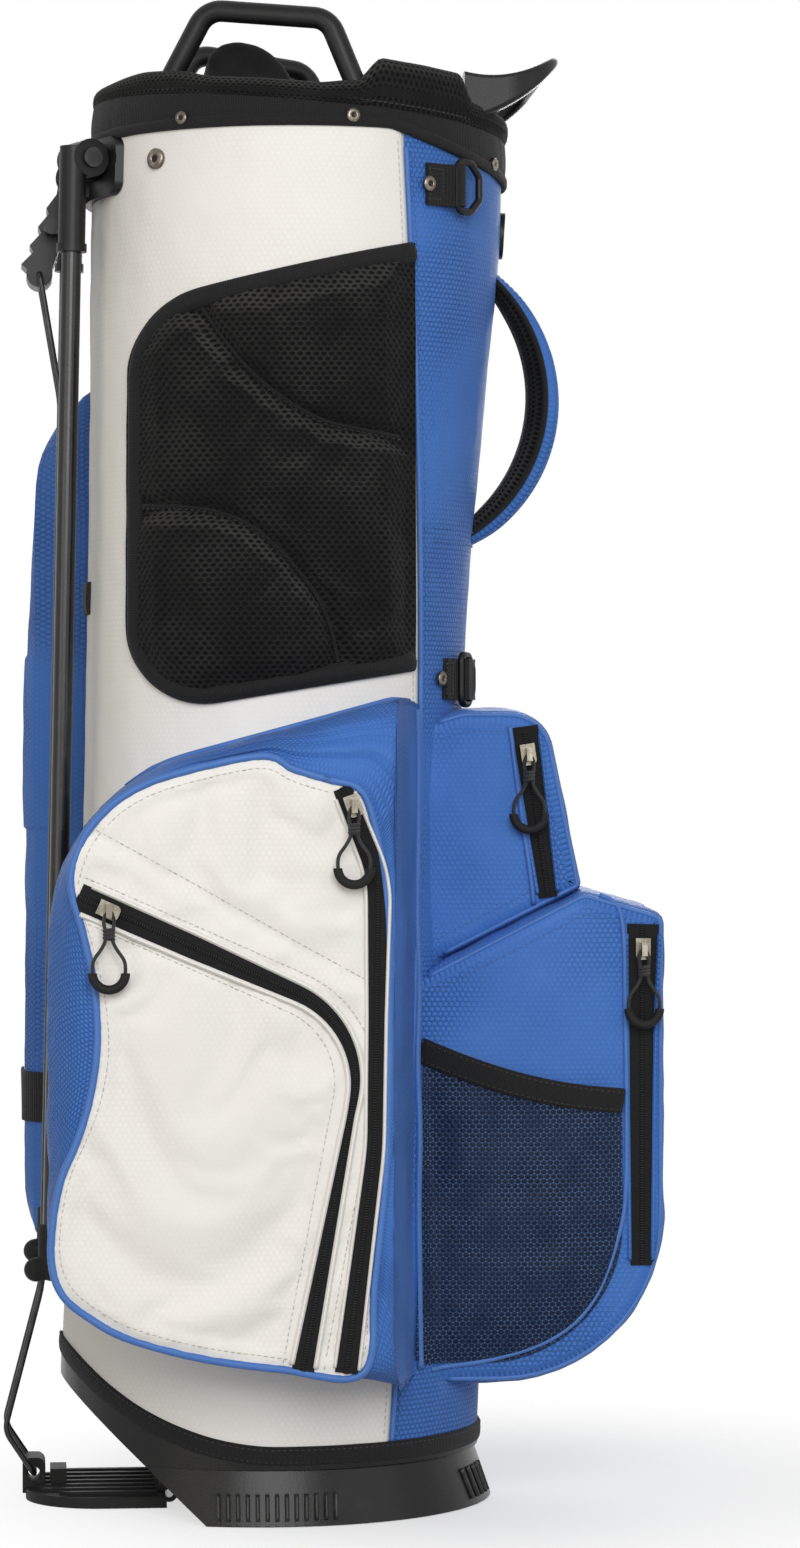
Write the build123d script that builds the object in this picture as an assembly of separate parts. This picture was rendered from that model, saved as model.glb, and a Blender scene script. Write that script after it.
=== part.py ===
from build123d import *
import math
import os

# Golf stand bag. Millimetres, +Z up, +X to the pocket side, legs on the -X side, floor at Z = 0.

# Bag tube: an oval that narrows at the waist and leans forward to its top
base_centre = -2.5
base_half_x = 127.0
base_half_y = 119.0
thigh_height = 262.0
thigh_centre = 0.6
thigh_half_x = 122.0
thigh_half_y = 114.5
waist_height = 521.0
waist_centre = 3.7
waist_half_x = 117.0
waist_half_y = 110.0
shoulder_height = 740.0
shoulder_centre = 14.2
shoulder_half_x = 125.2
shoulder_half_y = 117.0
tube_top = 868.0
top_centre = 18.4
top_half_x = 125.8
top_half_y = 118.0
panel_wall = 3.0
seam_x_top = 72.0
seam_x_middle = 86.0
seam_x_base = 63.0

# Small gaps
seat_gap = 0.2
run_gap = 0.3
pin_gap = 0.05

# Base boot and its trim
boot_height = 35.0
boot_sweep_radius = 178.0
boot_flare = 12.0
boot_flare_height = 32.0
boot_proud = 1.0
boot_wall = 4.0
underside_start = -45.0
underside_slope = 42.0
trim_height = 10.6
trim_proud = 2.0
grip_rib_width = 2.2
grip_rib_proud = 1.2
grip_rib_pitch = 5.8
grip_rib_count = 10
grip_rib_start = -38.0
grip_rib_height = 19.0
grip_rib_foot = 1.0

# Collar at the mouth of the tube
collar_height = 843.6
collar_tilt = 4.6
pad_height = 17.0
pad_proud = 3.0
pad_width = 19.0
pad_round = 7.5
ring_inset = 6.0
ring_width = 7.0
ring_height = 9.0
ring_lift = 3.0
band_edge = 832.0
band_edge_bend = 66.0
band_drop_slope = 16.5
band_proud = 2.0

# Loop handles on the collar
loop_left_x = -70.0
loop_right_x = 49.0
loop_top_left = (-43.0, 904.0)
loop_top_right = (29.0, 896.5)
loop_bar = 13.0
loop_bend = 15.0
loop_back_rise = 6.0

# Front lift handle
lift_reach = 175.5
lift_root = 114.5
lift_half_width = 66.0
lift_bar = 15.0
lift_tip_height = 889.0
lift_root_height = 872.5
lift_corner = 34.0
lift_dip = 0.5
lift_tip_thickness = 7.0
lift_belly = (6.0, 14.0)
lift_round = 2.6

# Club divider
divider_wall = 5.0
divider_height = 26.0
divider_sink = 2.0
divider_bar = 13.0
divider_bar_back = -11.0
divider_bar_front = 66.0
bridge_peak = 899.0
bridge_half_length = 44.0
bridge_half_width = 20.0
bridge_lean = 8.0
bridge_top = 5.0
bridge_sink = 8.0
stay_diameter = 8.0
stay_inset = 15.0
stay_angles = (50, 105, -105, -50)

# Hip pad on the near side
hip_top_right = (80.0, 763.0)
hip_top_left = (-88.5, 725.5)
hip_low_left = (-90.0, 479.5)
hip_low_right = (82.0, 508.3)
hip_round_top = 52.0
hip_round_low = 45.0
hip_thickness = 10.0
hip_edge_round = 5.0
hip_binding_width = 8.0
hip_binding_thickness = 5.0
hip_channel_width = 5.0
hip_channel_floor = 4.5
hip_channel_upper = ((-60, 745), (-45.6, 720), (-15.9, 681), (19.9, 656), (90, 643))
hip_channel_lower = ((-100, 605), (-42.6, 601), (-15.9, 590), (11, 563.7), (28.8, 533.4), (37, 490))

# Near apparel pocket
near_front = 183.5
near_back = 62.0
near_round = 9.0
near_panel_margin = 8.0
near_panel_thickness = 1.5
near_right_front = 62.0
near_right_back = 83.0
near_left = -139.0
near_low = 126.0
near_high = 433.5
near_round_low = 70.0
near_round_high = 115.0
near_peak = (72.0, 491.0)
near_peak_round = 20.0
near_edge_past = 12.0
near_edge_high = 485.0
near_edge_low = 82.0
near_side_back = 104.0
near_tuck = 30.0
near_clear = 5.0

# Far apparel pocket
far_front = 183.5
far_back = 76.0
far_left = -152.0
far_round = 16.0
far_low = 104.0
far_high = 702.0
far_right = 85.0
far_round_low = 80.0
far_round_high = 70.0
far_round_right = 40.0
far_side_back = 112.0
far_right_front = 70.0
far_right_back = (92.0, 90.0)
far_middle = 50.0
far_tuck = 44.0
webbing_start = 116.0
webbing_inset = 4.0
webbing_low = 222.0
webbing_high = 254.0
webbing_thickness = 1.2

# Accessory and ball pockets on the front
accessory_half_width = 66.0
accessory_reach = 187.0
ball_half_width = 78.0
accessory_low = 290.0
accessory_shoulder = 462.0
accessory_top = 484.0
accessory_top_run = (74.0, 22.0)
accessory_top_rounds = (20.0, 28.0)
ball_reach = 236.0
ball_low = 76.0
ball_toe_round = 100.0
ball_seam_start = (40.0, 300.0)
ball_seam_middle = (93.0, 327.0)
ball_crest = (186.0, 374.5)
ball_crest_round = 10.0
ball_front_top = 360.0
ball_front_round = 8.0
pocket_gap = 0.5
pocket_inside = 40.0
pocket_round = 9.0

# Mesh pouch on the ball pocket
pouch_depth = 13.0
pouch_left = 94.0
pouch_right = 205.0
pouch_low = 90.0
pouch_top_left = 289.0
pouch_top_right = 260.0
pouch_corner = 80.0
pouch_wall = 1.5
pouch_binding_height = 14.0
pouch_binding_thickness = 2.6

# Grab handle on the front
grab_width = 34.0
grab_round = 1.8
grab_root = 118.0
grab_outer_centre = (78.0, 676.0)
grab_outer_radius = 100.6
grab_inner_centre = (62.0, 680.0)
grab_inner_radius = 99.0

# Zips
zip_width = 11.0
zip_thickness = 1.0
narrow_zip = 0.75
main_zip = ((-118.0, 372.6), (46.0, 300.0), (9.0, 106.0))
main_zip_round = 56.0
side_zip = ((34.0, 436.0), (52.0, 385.0), (50.0, 228.0), (34.0, 104.0))
side_zip_rounds = (80.0, 200.0)
accessory_zip = ((152.0, 463.0), (163.0, 387.0))
ball_zip = ((221.5, 348.0), (221.5, 150.0))
slider_length = 13.0
slider_width = 9.0
slider_height = 4.0
bail_height = 7.0
bail_width = 3.4
cord_diameter = 2.2
cord_length = 36.0
grip_radius = 9.5
grip_diameter = 5.4
knot_radius = 3.2
knot_drop = 13.0
neck_drop = 4.0
grip_neck = 8.0
cord_bends = (6.0, 5.0, 1.6)

# Strap tabs and D-rings
tab_height = 25.0
tab_thickness = 2.5
ring_wire = 4.6
ring_span = 30.0
ring_depth = 19.0
ring_bar_lift = 5.8
ring_shoulder = 11.0
ring_flat = 7.0
ring_corner = 5.0
tab_sleeve = 1.4
tab_web = (6.0, 4.4)
top_tab = (80.0, 104.0, 799.0)
mid_tab = (92.0, 109.0, 503.0)

# Rivets, snap and badge
rivet_radius = 4.0
tab_rivet_radius = 4.6
snap_radius = 6.2
rivet_height = 1.6
rivet_root = 3.0
band_rivets = (-57.0, 42.0, 131.0)
band_rivet_drop = 7.0
snap_place = (-73.0, 814.0)
badge_radius = 14.5
badge_height = 780.0
badge_thickness = 3.0

# Stand: bracket and legs
leg_pivot_height = 818.0
leg_pivot_standoff = 5.5
leg_pivot_y = 50.0
leg_splay = 25.0
leg_head_radius = 11.5
leg_head_width = 16.6
leg_pin_diameter = 8.0
leg_pin_head = 12.0
leg_pin_head_height = 2.4
leg_diameter = 12.0
leg_wall = 1.2
leg_offset = 8.0
leg_y = 53.7
leg_lean = 12.5
leg_top = 802.0
leg_bottom = 152.0
sleeve_bottom = 761.0
sleeve_wall = 2.2
sleeve_lip = (5.0, 1.0)
crown_share = 0.6
foot_bottom = 138.0
foot_wall = 2.6
foot_height = 34.0
foot_toe = 9.5
foot_toe_drop = 1.5
foot_toe_share = 0.85
bracket_plate = 4.5
bracket_half_width = 60.0
bracket_low = 796.0
lug_thickness = 8.0
bracket_corner = 8.0
lug_reach = 60.0
head_room = 0.8

# Stand: yoke, wire and pedal
yoke_height = 806.0
yoke_standoff = 14.0
yoke_width = 29.0
yoke_knuckle = 7.0
yoke_pin_diameter = 6.0
yoke_cheek = 6.0
yoke_teeth = 4
yoke_tooth_depth = 4.5
yoke_toe_x = -19.0
yoke_toe_drop = 54.0
yoke_toe_radius = 8.0
yoke_arm_half = 31.0
yoke_arm_radius = 5.0
yoke_arm_out = 2.0
yoke_slim = 0.8
yoke_tooth_gap = (2.0, 3.0)
yoke_taper = (1.0, 0.5)
wire_diameter = 3.5
wire_half_gap = 19.5
wire_hook = 6.0
wire_knee = (13.0, -76.0)
wire_low = (5.0, 116.0)
wire_elbow = (-18.0, 27.0)
wire_bends = (4.5, 70.0, 70.0, 14.0, 5.0)
pedal_pivot_x = -64.0
pedal_pivot_z = 6.2
pedal_tip = -151.0
pedal_half_width = 58.0
pedal_plate = 6.5
pedal_clear = 0.4
pedal_rib_height = 2.2
pedal_rib_width = 5.0
pedal_rib_count = 7
pedal_rib_pitch = 15.0
pedal_knuckle = 5.4
pedal_pin_diameter = 5.0
pedal_lug_width = 9.0
pedal_lug_y = 34.0
clip_x = -146.0
clip_z = 16.0
clip_half_width = 13.5
clip_half_length = 7.0
clip_head = 9.0
clip_round = 5.0
clip_slot = (9.6, 7.2)
clip_slot_drop = 1.3
stop_start = 10.0
stop_end = 20.0
stop_head = 2.0
pedal_corner = 46.0
pedal_margin = 6.0
pedal_back_gap = 2.0
pedal_heel_gap = 1.5

# Leg rest on the back of the tube
rest_height = 553.0
rest_tall = 21.0
rest_half_width = 48.0
rest_thickness = 3.0

# Room that every cutting block reaches past the bag
reach = 300.0


def side_prism(face, y_high, y_low):
    # A face drawn in X and Z, pushed from y_high towards the near side to y_low
    return extrude(Plane.XZ.offset(-y_high) * face, amount=y_high - y_low, dir=(0, -1, 0))


def plan_prism(face, z_low, z_high):
    return extrude(Plane.XY.offset(z_low) * face, amount=z_high - z_low, dir=(0, 0, 1))


def block(x_low, x_high, y_low, y_high, z_low, z_high):
    middle = Pos((x_low + x_high) / 2, (y_low + y_high) / 2, (z_low + z_high) / 2)
    return middle * Box(x_high - x_low, y_high - y_low, z_high - z_low)


def rod(start, end, radius):
    start = Vector(*start)
    run = Vector(*end) - start
    return extrude(Plane(start, z_dir=run.normalized()) * Circle(radius), amount=run.length)


def bent_rod(points, radii, radius):
    path = FilletPolyline(*points, radius=radii)
    return sweep(Plane(path @ 0, z_dir=path % 0) * Circle(radius), path=path)


tube_store = {}


def tube(grow):
    # The outer form of the bag tube, grown or shrunk all round
    if grow not in tube_store:
        sections = [
            (0.0, base_centre, base_half_x, base_half_y),
            (thigh_height, thigh_centre, thigh_half_x, thigh_half_y),
            (waist_height, waist_centre, waist_half_x, waist_half_y),
            (shoulder_height, shoulder_centre, shoulder_half_x, shoulder_half_y),
            (tube_top, top_centre, top_half_x, top_half_y),
        ]
        faces = []
        for height, centre, half_x, half_y in sections:
            faces.append(Pos(centre, 0, height) * Ellipse(half_x + grow, half_y + grow))
        tube_store[grow] = loft(faces)
    return tube_store[grow]


def tube_skin():
    return tube(0.0).faces().sort_by(Axis.Z)[1]


def near_point(x, z):
    # Where the near side of the tube lies at this X and Z, with its outward normal
    hits = tube_skin().find_intersection_points(Axis((x, -reach, z), (0, 1, 0)))
    point, normal = min(hits, key=lambda hit: hit[0].Y)
    return point, outward(point, normal)


def end_point(z, sign):
    # Where the tube's front (sign 1) or back (sign -1) lies at this height
    hits = tube_skin().find_intersection_points(Axis((sign * reach, 0, z), (-sign, 0, 0)))
    return max(hits, key=lambda hit: sign * hit[0].X)[0]


def outward(point, normal):
    centre = Vector(top_centre, 0, point.Z)
    if normal.dot(point - centre) < 0:
        return normal * -1
    return normal


def skin_patch(prism, low, high):
    # The part of a prism that lies between two heights above the tube's surface
    return (prism & tube(high)) - tube(low)


def under_boot_edge(lift):
    # Everything below the boot's top edge: level at the front, swept up on the leg side
    level = boot_height + lift
    back = -boot_sweep_radius * 0.8
    rise = boot_sweep_radius - math.sqrt(boot_sweep_radius ** 2 - back ** 2)
    sweep_edge = TangentArc((0, level), (back, level + rise), tangent=(-1, 0))
    frame = Polyline((back, level + rise), (back, -reach), (reach, -reach), (reach, level), (0, level))
    return side_prism(make_face([sweep_edge, frame]), reach, -reach)


def under_band_edge():
    # Everything below the collar band's lower edge, which drops towards the front
    drop = (reach - band_edge_bend) * math.tan(math.radians(band_drop_slope))
    face = Polygon(
        (-reach, -reach),
        (reach, -reach),
        (reach, band_edge - drop),
        (band_edge_bend, band_edge),
        (-reach, band_edge),
        align=None,
    )
    return side_prism(face, reach, -reach)


def front_region():
    # Everything in front of the two seams that join the front and side panels
    seam = Spline((seam_x_base, 0), (seam_x_middle, waist_height), (seam_x_top, tube_top))
    frame = Polyline((seam_x_top, tube_top), (reach, tube_top), (reach, 0), (seam_x_base, 0))
    return side_prism(make_face([seam, frame]), reach, -reach)


collar_plane = Plane((top_centre, 0, collar_height), z_dir=(math.sin(math.radians(collar_tilt)), 0, 1))


def collar_oval(inset, low, high):
    # An oval disc square to the tilted collar, set in from the tube's top outline
    face = Ellipse(top_half_x - inset, top_half_y - inset)
    return extrude(collar_plane.offset(low) * face, amount=high - low)


def under_collar(lift):
    return extrude(collar_plane.offset(lift) * Rectangle(2 * reach, 2 * reach), amount=-4 * reach)


def bag_panels():
    wall = tube(0.0) - tube(-panel_wall)
    wall = (wall & under_band_edge()) - under_boot_edge(trim_height)
    front = wall & front_region()
    sides = wall - front_region()
    near = sides & block(-reach, reach, -reach, 0, -reach, 4 * reach)
    far = sides & block(-reach, reach, 0, reach, -reach, 4 * reach)
    return front, near, far


def base_trim():
    trim = tube(trim_proud) - tube(-panel_wall)
    return (trim & under_boot_edge(trim_height)) - under_boot_edge(0)


def boot_skirt(grow):
    # The flared foot of the boot
    low = Pos(base_centre, 0, 0) * Ellipse(base_half_x + boot_flare + grow, base_half_y + boot_flare + grow)
    half_x = base_half_x + boot_proud + grow
    half_y = base_half_y + boot_proud + grow
    high = Pos(base_centre, 0, boot_flare_height) * Ellipse(half_x, half_y)
    return loft([low, high], ruled=True)


def over_underside(lift):
    # Everything above the slanted underside, which clears the pedal
    slope = math.radians(underside_slope)
    start = underside_start + lift * math.tan(slope / 2)
    back = -reach
    face = Polygon(
        (reach, lift),
        (reach, reach),
        (back, reach),
        (back, lift + (start - back) * math.tan(slope)),
        (start, lift),
        align=None,
    )
    return side_prism(face, reach, -reach)


def pedal_lugs():
    # Two lugs under the boot that hold the pedal's pin
    lugs = []
    for side in (-1, 1):
        y_low = side * pedal_lug_y - pedal_lug_width / 2
        eye = Pos(pedal_pivot_x, side * pedal_lug_y, pedal_pivot_z) * Rot(90, 0, 0)
        lug = eye * Cylinder(pedal_knuckle, pedal_lug_width)
        top = pedal_pivot_z + 4 * pedal_knuckle
        web = block(
            pedal_pivot_x - pedal_knuckle,
            pedal_pivot_x + pedal_knuckle,
            y_low,
            y_low + pedal_lug_width,
            pedal_pivot_z,
            top,
        )
        lug = lug + (web - over_underside(boot_wall / 2))
        lugs.append(lug - eye * Cylinder(pedal_pin_diameter / 2, 2 * pedal_lug_width))
    return lugs


def base_boot():
    upper = tube(boot_proud) & block(-reach, reach, -reach, reach, boot_flare_height, reach)
    body = boot_skirt(0) + upper
    ribs = []
    for index in range(grip_rib_count):
        x = grip_rib_start + index * grip_rib_pitch
        half = grip_rib_width / 2
        slab = block(x - half, x + half, -reach, reach, grip_rib_foot, grip_rib_height)
        ribs.append(slab & boot_skirt(grip_rib_proud))
    body = body + ribs
    body = body & under_boot_edge(0) & over_underside(0)
    body = body - (tube(-boot_wall) & over_underside(boot_wall))
    return body + pedal_lugs()


def collar_band():
    band = tube(band_proud) - tube(-panel_wall)
    return (band & under_collar(0)) - under_band_edge()


def pad_oval():
    pad = collar_oval(-pad_proud, 0, pad_height) - collar_oval(pad_width - pad_proud, -1, pad_height + 1)
    top = pad.faces().sort_by(Axis.Z)[-1]
    return fillet(top.edges(), pad_round)


def ring_point(x, side):
    # The middle of the collar's moulded ring at this X
    half_x = top_half_x + pad_proud - ring_inset - ring_width / 2
    half_y = top_half_y + pad_proud - ring_inset - ring_width / 2
    share = (x - top_centre) / half_x
    return side * half_y * math.sqrt(1 - share ** 2)


def loop_handle(side):
    left_y = ring_point(loop_left_x, side)
    right_y = ring_point(loop_right_x, side)
    foot = collar_height + ring_lift
    spread = (right_y - left_y) / (loop_right_x - loop_left_x)
    points = [(loop_left_x, left_y, foot + loop_back_rise)]
    for x, z in (loop_top_left, loop_top_right):
        points.append((x, left_y + spread * (x - loop_left_x), z))
    points.append((loop_right_x, right_y, foot))
    return bent_rod(points, loop_bend, loop_bar / 2)


def lift_handle():
    # A flat loop that rises from the rim and turns up at its tip
    inner_reach = lift_reach - lift_bar
    inner_half = lift_half_width - lift_bar
    outer = Pos((lift_root + lift_reach) / 2, 0) * Rectangle(lift_reach - lift_root, 2 * lift_half_width)
    outer = fillet(outer.vertices().group_by(Axis.X)[-1], lift_corner)
    inner = Pos(inner_reach - lift_reach, 0) * Rectangle(2 * lift_reach, 2 * inner_half)
    inner = fillet(inner.vertices().group_by(Axis.X)[-1], lift_corner - lift_bar)
    loop = plan_prism(outer - inner, collar_height - ring_height, lift_tip_height + lift_bar)
    fall = (lift_root - top_centre) * math.tan(math.radians(collar_tilt))
    rim = collar_height - fall + ring_lift + ring_height / 3
    middle = (lift_root + lift_reach) / 2
    dip = lift_root_height - lift_dip
    tip_low = lift_tip_height - lift_tip_thickness
    top = Spline((lift_root, lift_root_height), (middle, dip), (lift_reach, lift_tip_height))
    low = Spline((lift_reach, tip_low), (middle + lift_belly[0], dip - lift_belly[1]), (lift_root, rim))
    ends = [
        Line((lift_reach, lift_tip_height), (lift_reach, tip_low)),
        Line((lift_root, rim), (lift_root, lift_root_height)),
    ]
    profile = side_prism(make_face([top, ends[0], low, ends[1]]), reach, -reach)
    handle = loop & profile
    return fillet(handle.edges().filter_by(lambda edge: edge.center().X > lift_root + 1), lift_round)


def collar():
    # One moulding: a ring inside the padded rim, two loop handles and the lift handle
    low = ring_lift
    ring = collar_oval(ring_inset - pad_proud, low, low + ring_height)
    ring = ring - collar_oval(ring_inset - pad_proud + ring_width, 0, pad_height)
    return ring + [loop_handle(-1), loop_handle(1), lift_handle()]


def divider_low():
    return pad_height - divider_sink - divider_height


def club_divider():
    outer = pad_width - pad_proud + run_gap
    low = divider_low()
    high = low + divider_height
    rim = collar_oval(outer, low, high) - collar_oval(outer + divider_wall, low - 1, high + 1)
    inside = collar_oval(outer + divider_wall / 2, low, high)
    half = divider_bar / 2
    under = collar_height - reach / 4
    over = collar_height + reach / 4
    bars = [block(-reach, reach, -half, half, under, over) & inside]
    for x in (divider_bar_back, divider_bar_front):
        bars.append(block(x - half, x + half, -reach, reach, under, over) & inside)
    foot = collar_height + pad_height - bridge_sink
    back_foot = (divider_bar_back - bridge_half_width, foot)
    front_foot = (divider_bar_back + bridge_half_width, foot)
    peak_x = divider_bar_back - bridge_lean
    rise = Spline(
        back_foot,
        (peak_x - bridge_top, bridge_peak - bridge_top),
        (peak_x + bridge_top, bridge_peak),
        front_foot,
    )
    hump = make_face([Polyline(front_foot, back_foot), rise])
    bridge = side_prism(hump, bridge_half_length, -bridge_half_length)
    return rim + bars + [bridge]


def support_stays():
    # Four rods from the boot's floor to the collar, set inside the cloth
    stays = []
    for angle in stay_angles:
        share_x = math.cos(math.radians(angle))
        share_y = math.sin(math.radians(angle))
        half_x = waist_half_x - stay_inset
        half_y = waist_half_y - stay_inset
        low = (base_centre + half_x * share_x, half_y * share_y, boot_wall)
        high = (top_centre + half_x * share_x, half_y * share_y, tube_top)
        stays.append(rod(low, high, stay_diameter / 2))
    cut = block(-reach, reach, -reach, reach, boot_wall, 4 * reach)
    return [(stay & under_collar(divider_low())) & cut for stay in stays]


def hip_outline():
    face = Polygon(hip_top_right, hip_top_left, hip_low_left, hip_low_right, align=None)
    corners = face.vertices().sort_by(Axis.X)[:2].sort_by(Axis.Y)
    face = fillet(corners[1], hip_round_top)
    corner = face.vertices().sort_by_distance((hip_low_left[0], hip_low_left[1], 0))[0]
    return fillet(corner, hip_round_low)


def hip_channels():
    return [trace(Spline(*line), hip_channel_width) for line in (hip_channel_upper, hip_channel_lower)]


def hip_pad():
    face = offset(hip_outline(), -hip_binding_width)
    pad = skin_patch(side_prism(face, 0, -reach), seat_gap, hip_thickness)
    outer = pad.faces().sort_by(Axis.Y)[0]
    pad = fillet(outer.edges(), hip_edge_round)
    for channel in hip_channels():
        pad = pad - skin_patch(side_prism(channel, 0, -reach), hip_channel_floor, hip_thickness + 5)
    return pad


def hip_binding():
    face = hip_outline() - offset(hip_outline(), -hip_binding_width)
    return skin_patch(side_prism(face, 0, -reach), seat_gap, hip_binding_thickness)


def rounded(corners):
    # A polygon given as (x, z, radius) corners
    face = Polygon(*[(x, z) for x, z, radius in corners], align=None)
    for x, z, radius in corners:
        if radius > 0:
            face = fillet(face.vertices().sort_by_distance((x, z, 0))[0], radius)
    return face


def near_outline():
    edge = near_right_back + near_edge_past
    return rounded(
        [
            (near_left, near_low, near_round_low),
            (near_left, near_high, near_round_high),
            (near_peak[0], near_peak[1], near_peak_round),
            (edge, near_edge_high, 0),
            (edge, near_edge_low, 0),
        ]
    )


def near_plan():
    # The pocket seen from above: it hugs the tube at both edges
    face = Polygon(
        (near_left, -near_side_back),
        (near_left, -near_front),
        (near_right_front, -near_front),
        (near_right_back, -ball_half_width - near_clear),
        (0, -ball_half_width - near_clear),
        (near_left + near_tuck, -near_back),
        align=None,
    )
    return plan_prism(face, -reach, 4 * reach)


def apparel_pocket_near():
    body = side_prism(near_outline(), -near_back / 3, -near_front)
    front = body.faces().sort_by(Axis.Y)[0]
    body = fillet(front.edges(), near_round)
    return (body & near_plan()) - tube(seat_gap)


def apparel_panel_near():
    margin = near_panel_margin + near_round / 4
    limit = Pos(near_right_front - margin - reach, reach) * Rectangle(2 * reach, 2 * reach)
    face = offset(near_outline(), -margin) & limit
    return side_prism(face, -near_front, -near_front - near_panel_thickness)


def far_outline():
    return rounded(
        [
            (far_left, far_low, far_round_low),
            (far_left, far_high, far_round_high),
            (far_right, far_high, far_round_right),
            (far_right, far_low, far_round_right),
        ]
    )


def apparel_pocket_far():
    body = side_prism(far_outline(), far_front, far_back / 3)
    front = body.faces().sort_by(Axis.Y)[-1]
    body = fillet(front.edges(), far_round)
    plan = Polygon(
        (far_left, far_side_back),
        (far_left, far_front),
        (far_right_front, far_front),
        far_right_back,
        (far_middle, far_back),
        (far_left + far_tuck, far_back),
        align=None,
    )
    return (body & plan_prism(plan, -reach, 4 * reach)) - tube(seat_gap)


def far_pocket_band():
    y_high = far_front - far_round - webbing_inset
    return block(far_left - webbing_thickness, far_left, webbing_start, y_high, webbing_low, webbing_high)


def accessory_outline():
    back_run, front_run = accessory_top_run
    back_round, front_round = accessory_top_rounds
    return rounded(
        [
            (pocket_inside, accessory_low, 0),
            (pocket_inside, accessory_shoulder, 0),
            (accessory_reach - back_run, accessory_top, back_round),
            (accessory_reach - front_run, accessory_top, front_round),
            (accessory_reach + 1, ball_crest[1] - pocket_gap, 0),
        ]
    )


def ball_outline():
    return rounded(
        [
            (ball_seam_start[0], ball_seam_start[1], 0),
            (ball_seam_middle[0], ball_seam_middle[1], 0),
            (ball_crest[0], ball_crest[1], ball_crest_round),
            (ball_reach, ball_front_top, ball_front_round),
            (ball_reach, ball_low, ball_toe_round),
            (pocket_inside, ball_low, 0),
        ]
    )


def front_pocket(face, half_width):
    body = side_prism(face, half_width, -half_width)
    ends = body.faces().sort_by(Axis.Y)
    return fillet(ends[0].edges() + ends[-1].edges(), pocket_round) - tube(seat_gap)


def ball_pocket():
    return front_pocket(ball_outline(), ball_half_width)


def accessory_pocket():
    # It stands on the ball pocket's sloping top
    seam = (ball_seam_middle[0], ball_seam_middle[1] + pocket_gap)
    slope = (ball_crest[1] - seam[1]) / (ball_crest[0] - seam[0])
    start = (0, seam[1] - slope * seam[0])
    corners = [start, ball_crest, (reach, ball_crest[1]), (reach, reach * 2), (0, reach * 2)]
    keep = side_prism(Polygon(*corners, align=None), reach, -reach)
    return front_pocket(accessory_outline(), accessory_half_width) & keep


def pouch_face(margin, lift):
    left = pouch_left + margin
    right = pouch_right - margin
    low = pouch_low + margin
    corners = [(left, low, 0), (left, pouch_top_left + lift, 0), (right, pouch_top_right + lift, 0)]
    return rounded(corners + [(right, low, pouch_corner)])


def mesh_pouch():
    # A shallow pouch, open at its top and backed by the ball pocket's side
    face = -ball_half_width
    outer = side_prism(pouch_face(0, 0), face, face - pouch_depth)
    inner = side_prism(pouch_face(pouch_wall, pouch_corner / 2), face + 1, face - pouch_depth + pouch_wall)
    return (outer - inner) - tube(seat_gap)


def mesh_binding():
    front = -ball_half_width - pouch_depth
    left = pouch_left
    right = pouch_right
    low = pouch_binding_height
    face = Polygon(
        (left, pouch_top_left),
        (left, pouch_top_left - low),
        (right, pouch_top_right - low),
        (right, pouch_top_right),
        align=None,
    )
    return side_prism(face, front, front - pouch_binding_thickness)


def grab_handle():
    # A padded strap between two circles, sewn to the front panel at both ends
    outer = Pos(*grab_outer_centre) * Circle(grab_outer_radius)
    inner = Pos(*grab_inner_centre) * Circle(grab_inner_radius)
    keep = Pos(grab_root + reach, grab_outer_centre[1]) * Rectangle(2 * reach, 2 * reach)
    band = side_prism((outer - inner) & keep, grab_width / 2, -grab_width / 2)
    sides = band.faces().sort_by(Axis.Y)
    return fillet(sides[0].edges() + sides[-1].edges(), grab_round) - tube(seat_gap)


def tab_frame(tab):
    # The plane of a D-ring: its X runs on round the tube from the tab, its Y up the ring's bar
    point, normal = near_point(tab[1], tab[2])
    level = Vector(normal.X, normal.Y, 0).normalized()
    ahead = Vector(-level.Y, level.X, 0)
    return Plane(point + level * ring_bar_lift, x_dir=ahead, z_dir=level * -1)


def strap_tab(tab):
    face = Pos((tab[0] + tab[1]) / 2, tab[2]) * Rectangle(tab[1] - tab[0], tab_height)
    strap = skin_patch(side_prism(face, 0, -reach), seat_gap, tab_thickness)
    frame = tab_frame(tab)
    bore = ring_wire / 2 + run_gap
    sleeve_length = ring_span - 2 * ring_corner - 4 * run_gap
    bar = frame * Rot(90, 0, 0)
    sleeve = bar * Cylinder(bore + tab_sleeve, sleeve_length)
    wide, deep = tab_web
    web = frame * Pos(-wide / 2, 0, deep / 2) * Box(wide, sleeve_length, deep)
    loop = (sleeve + web) - tube(seat_gap)
    return (strap + loop) - bar * Cylinder(bore, 2 * ring_span)


def d_ring(tab):
    frame = tab_frame(tab)
    half = ring_span / 2
    upper = [(0, half), (ring_shoulder, half), (ring_depth, ring_flat)]
    lower = [(x, -y) for x, y in reversed(upper)]
    line = frame * FilletPolyline(*upper, *lower, radius=ring_corner, close=True)
    return sweep(Plane(line @ 0, z_dir=line % 0) * Circle(ring_wire / 2), path=line)


def stud(x, z, radius, seat, side):
    point, normal = near_point(x, z)
    foot = Plane(point - normal * rivet_root, z_dir=normal)
    pin = extrude(foot * Circle(radius), amount=rivet_root + seat + rivet_height)
    pin = pin - tube(seat)
    if side > 0:
        pin = mirror(pin, Plane.XZ)
    return pin


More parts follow.
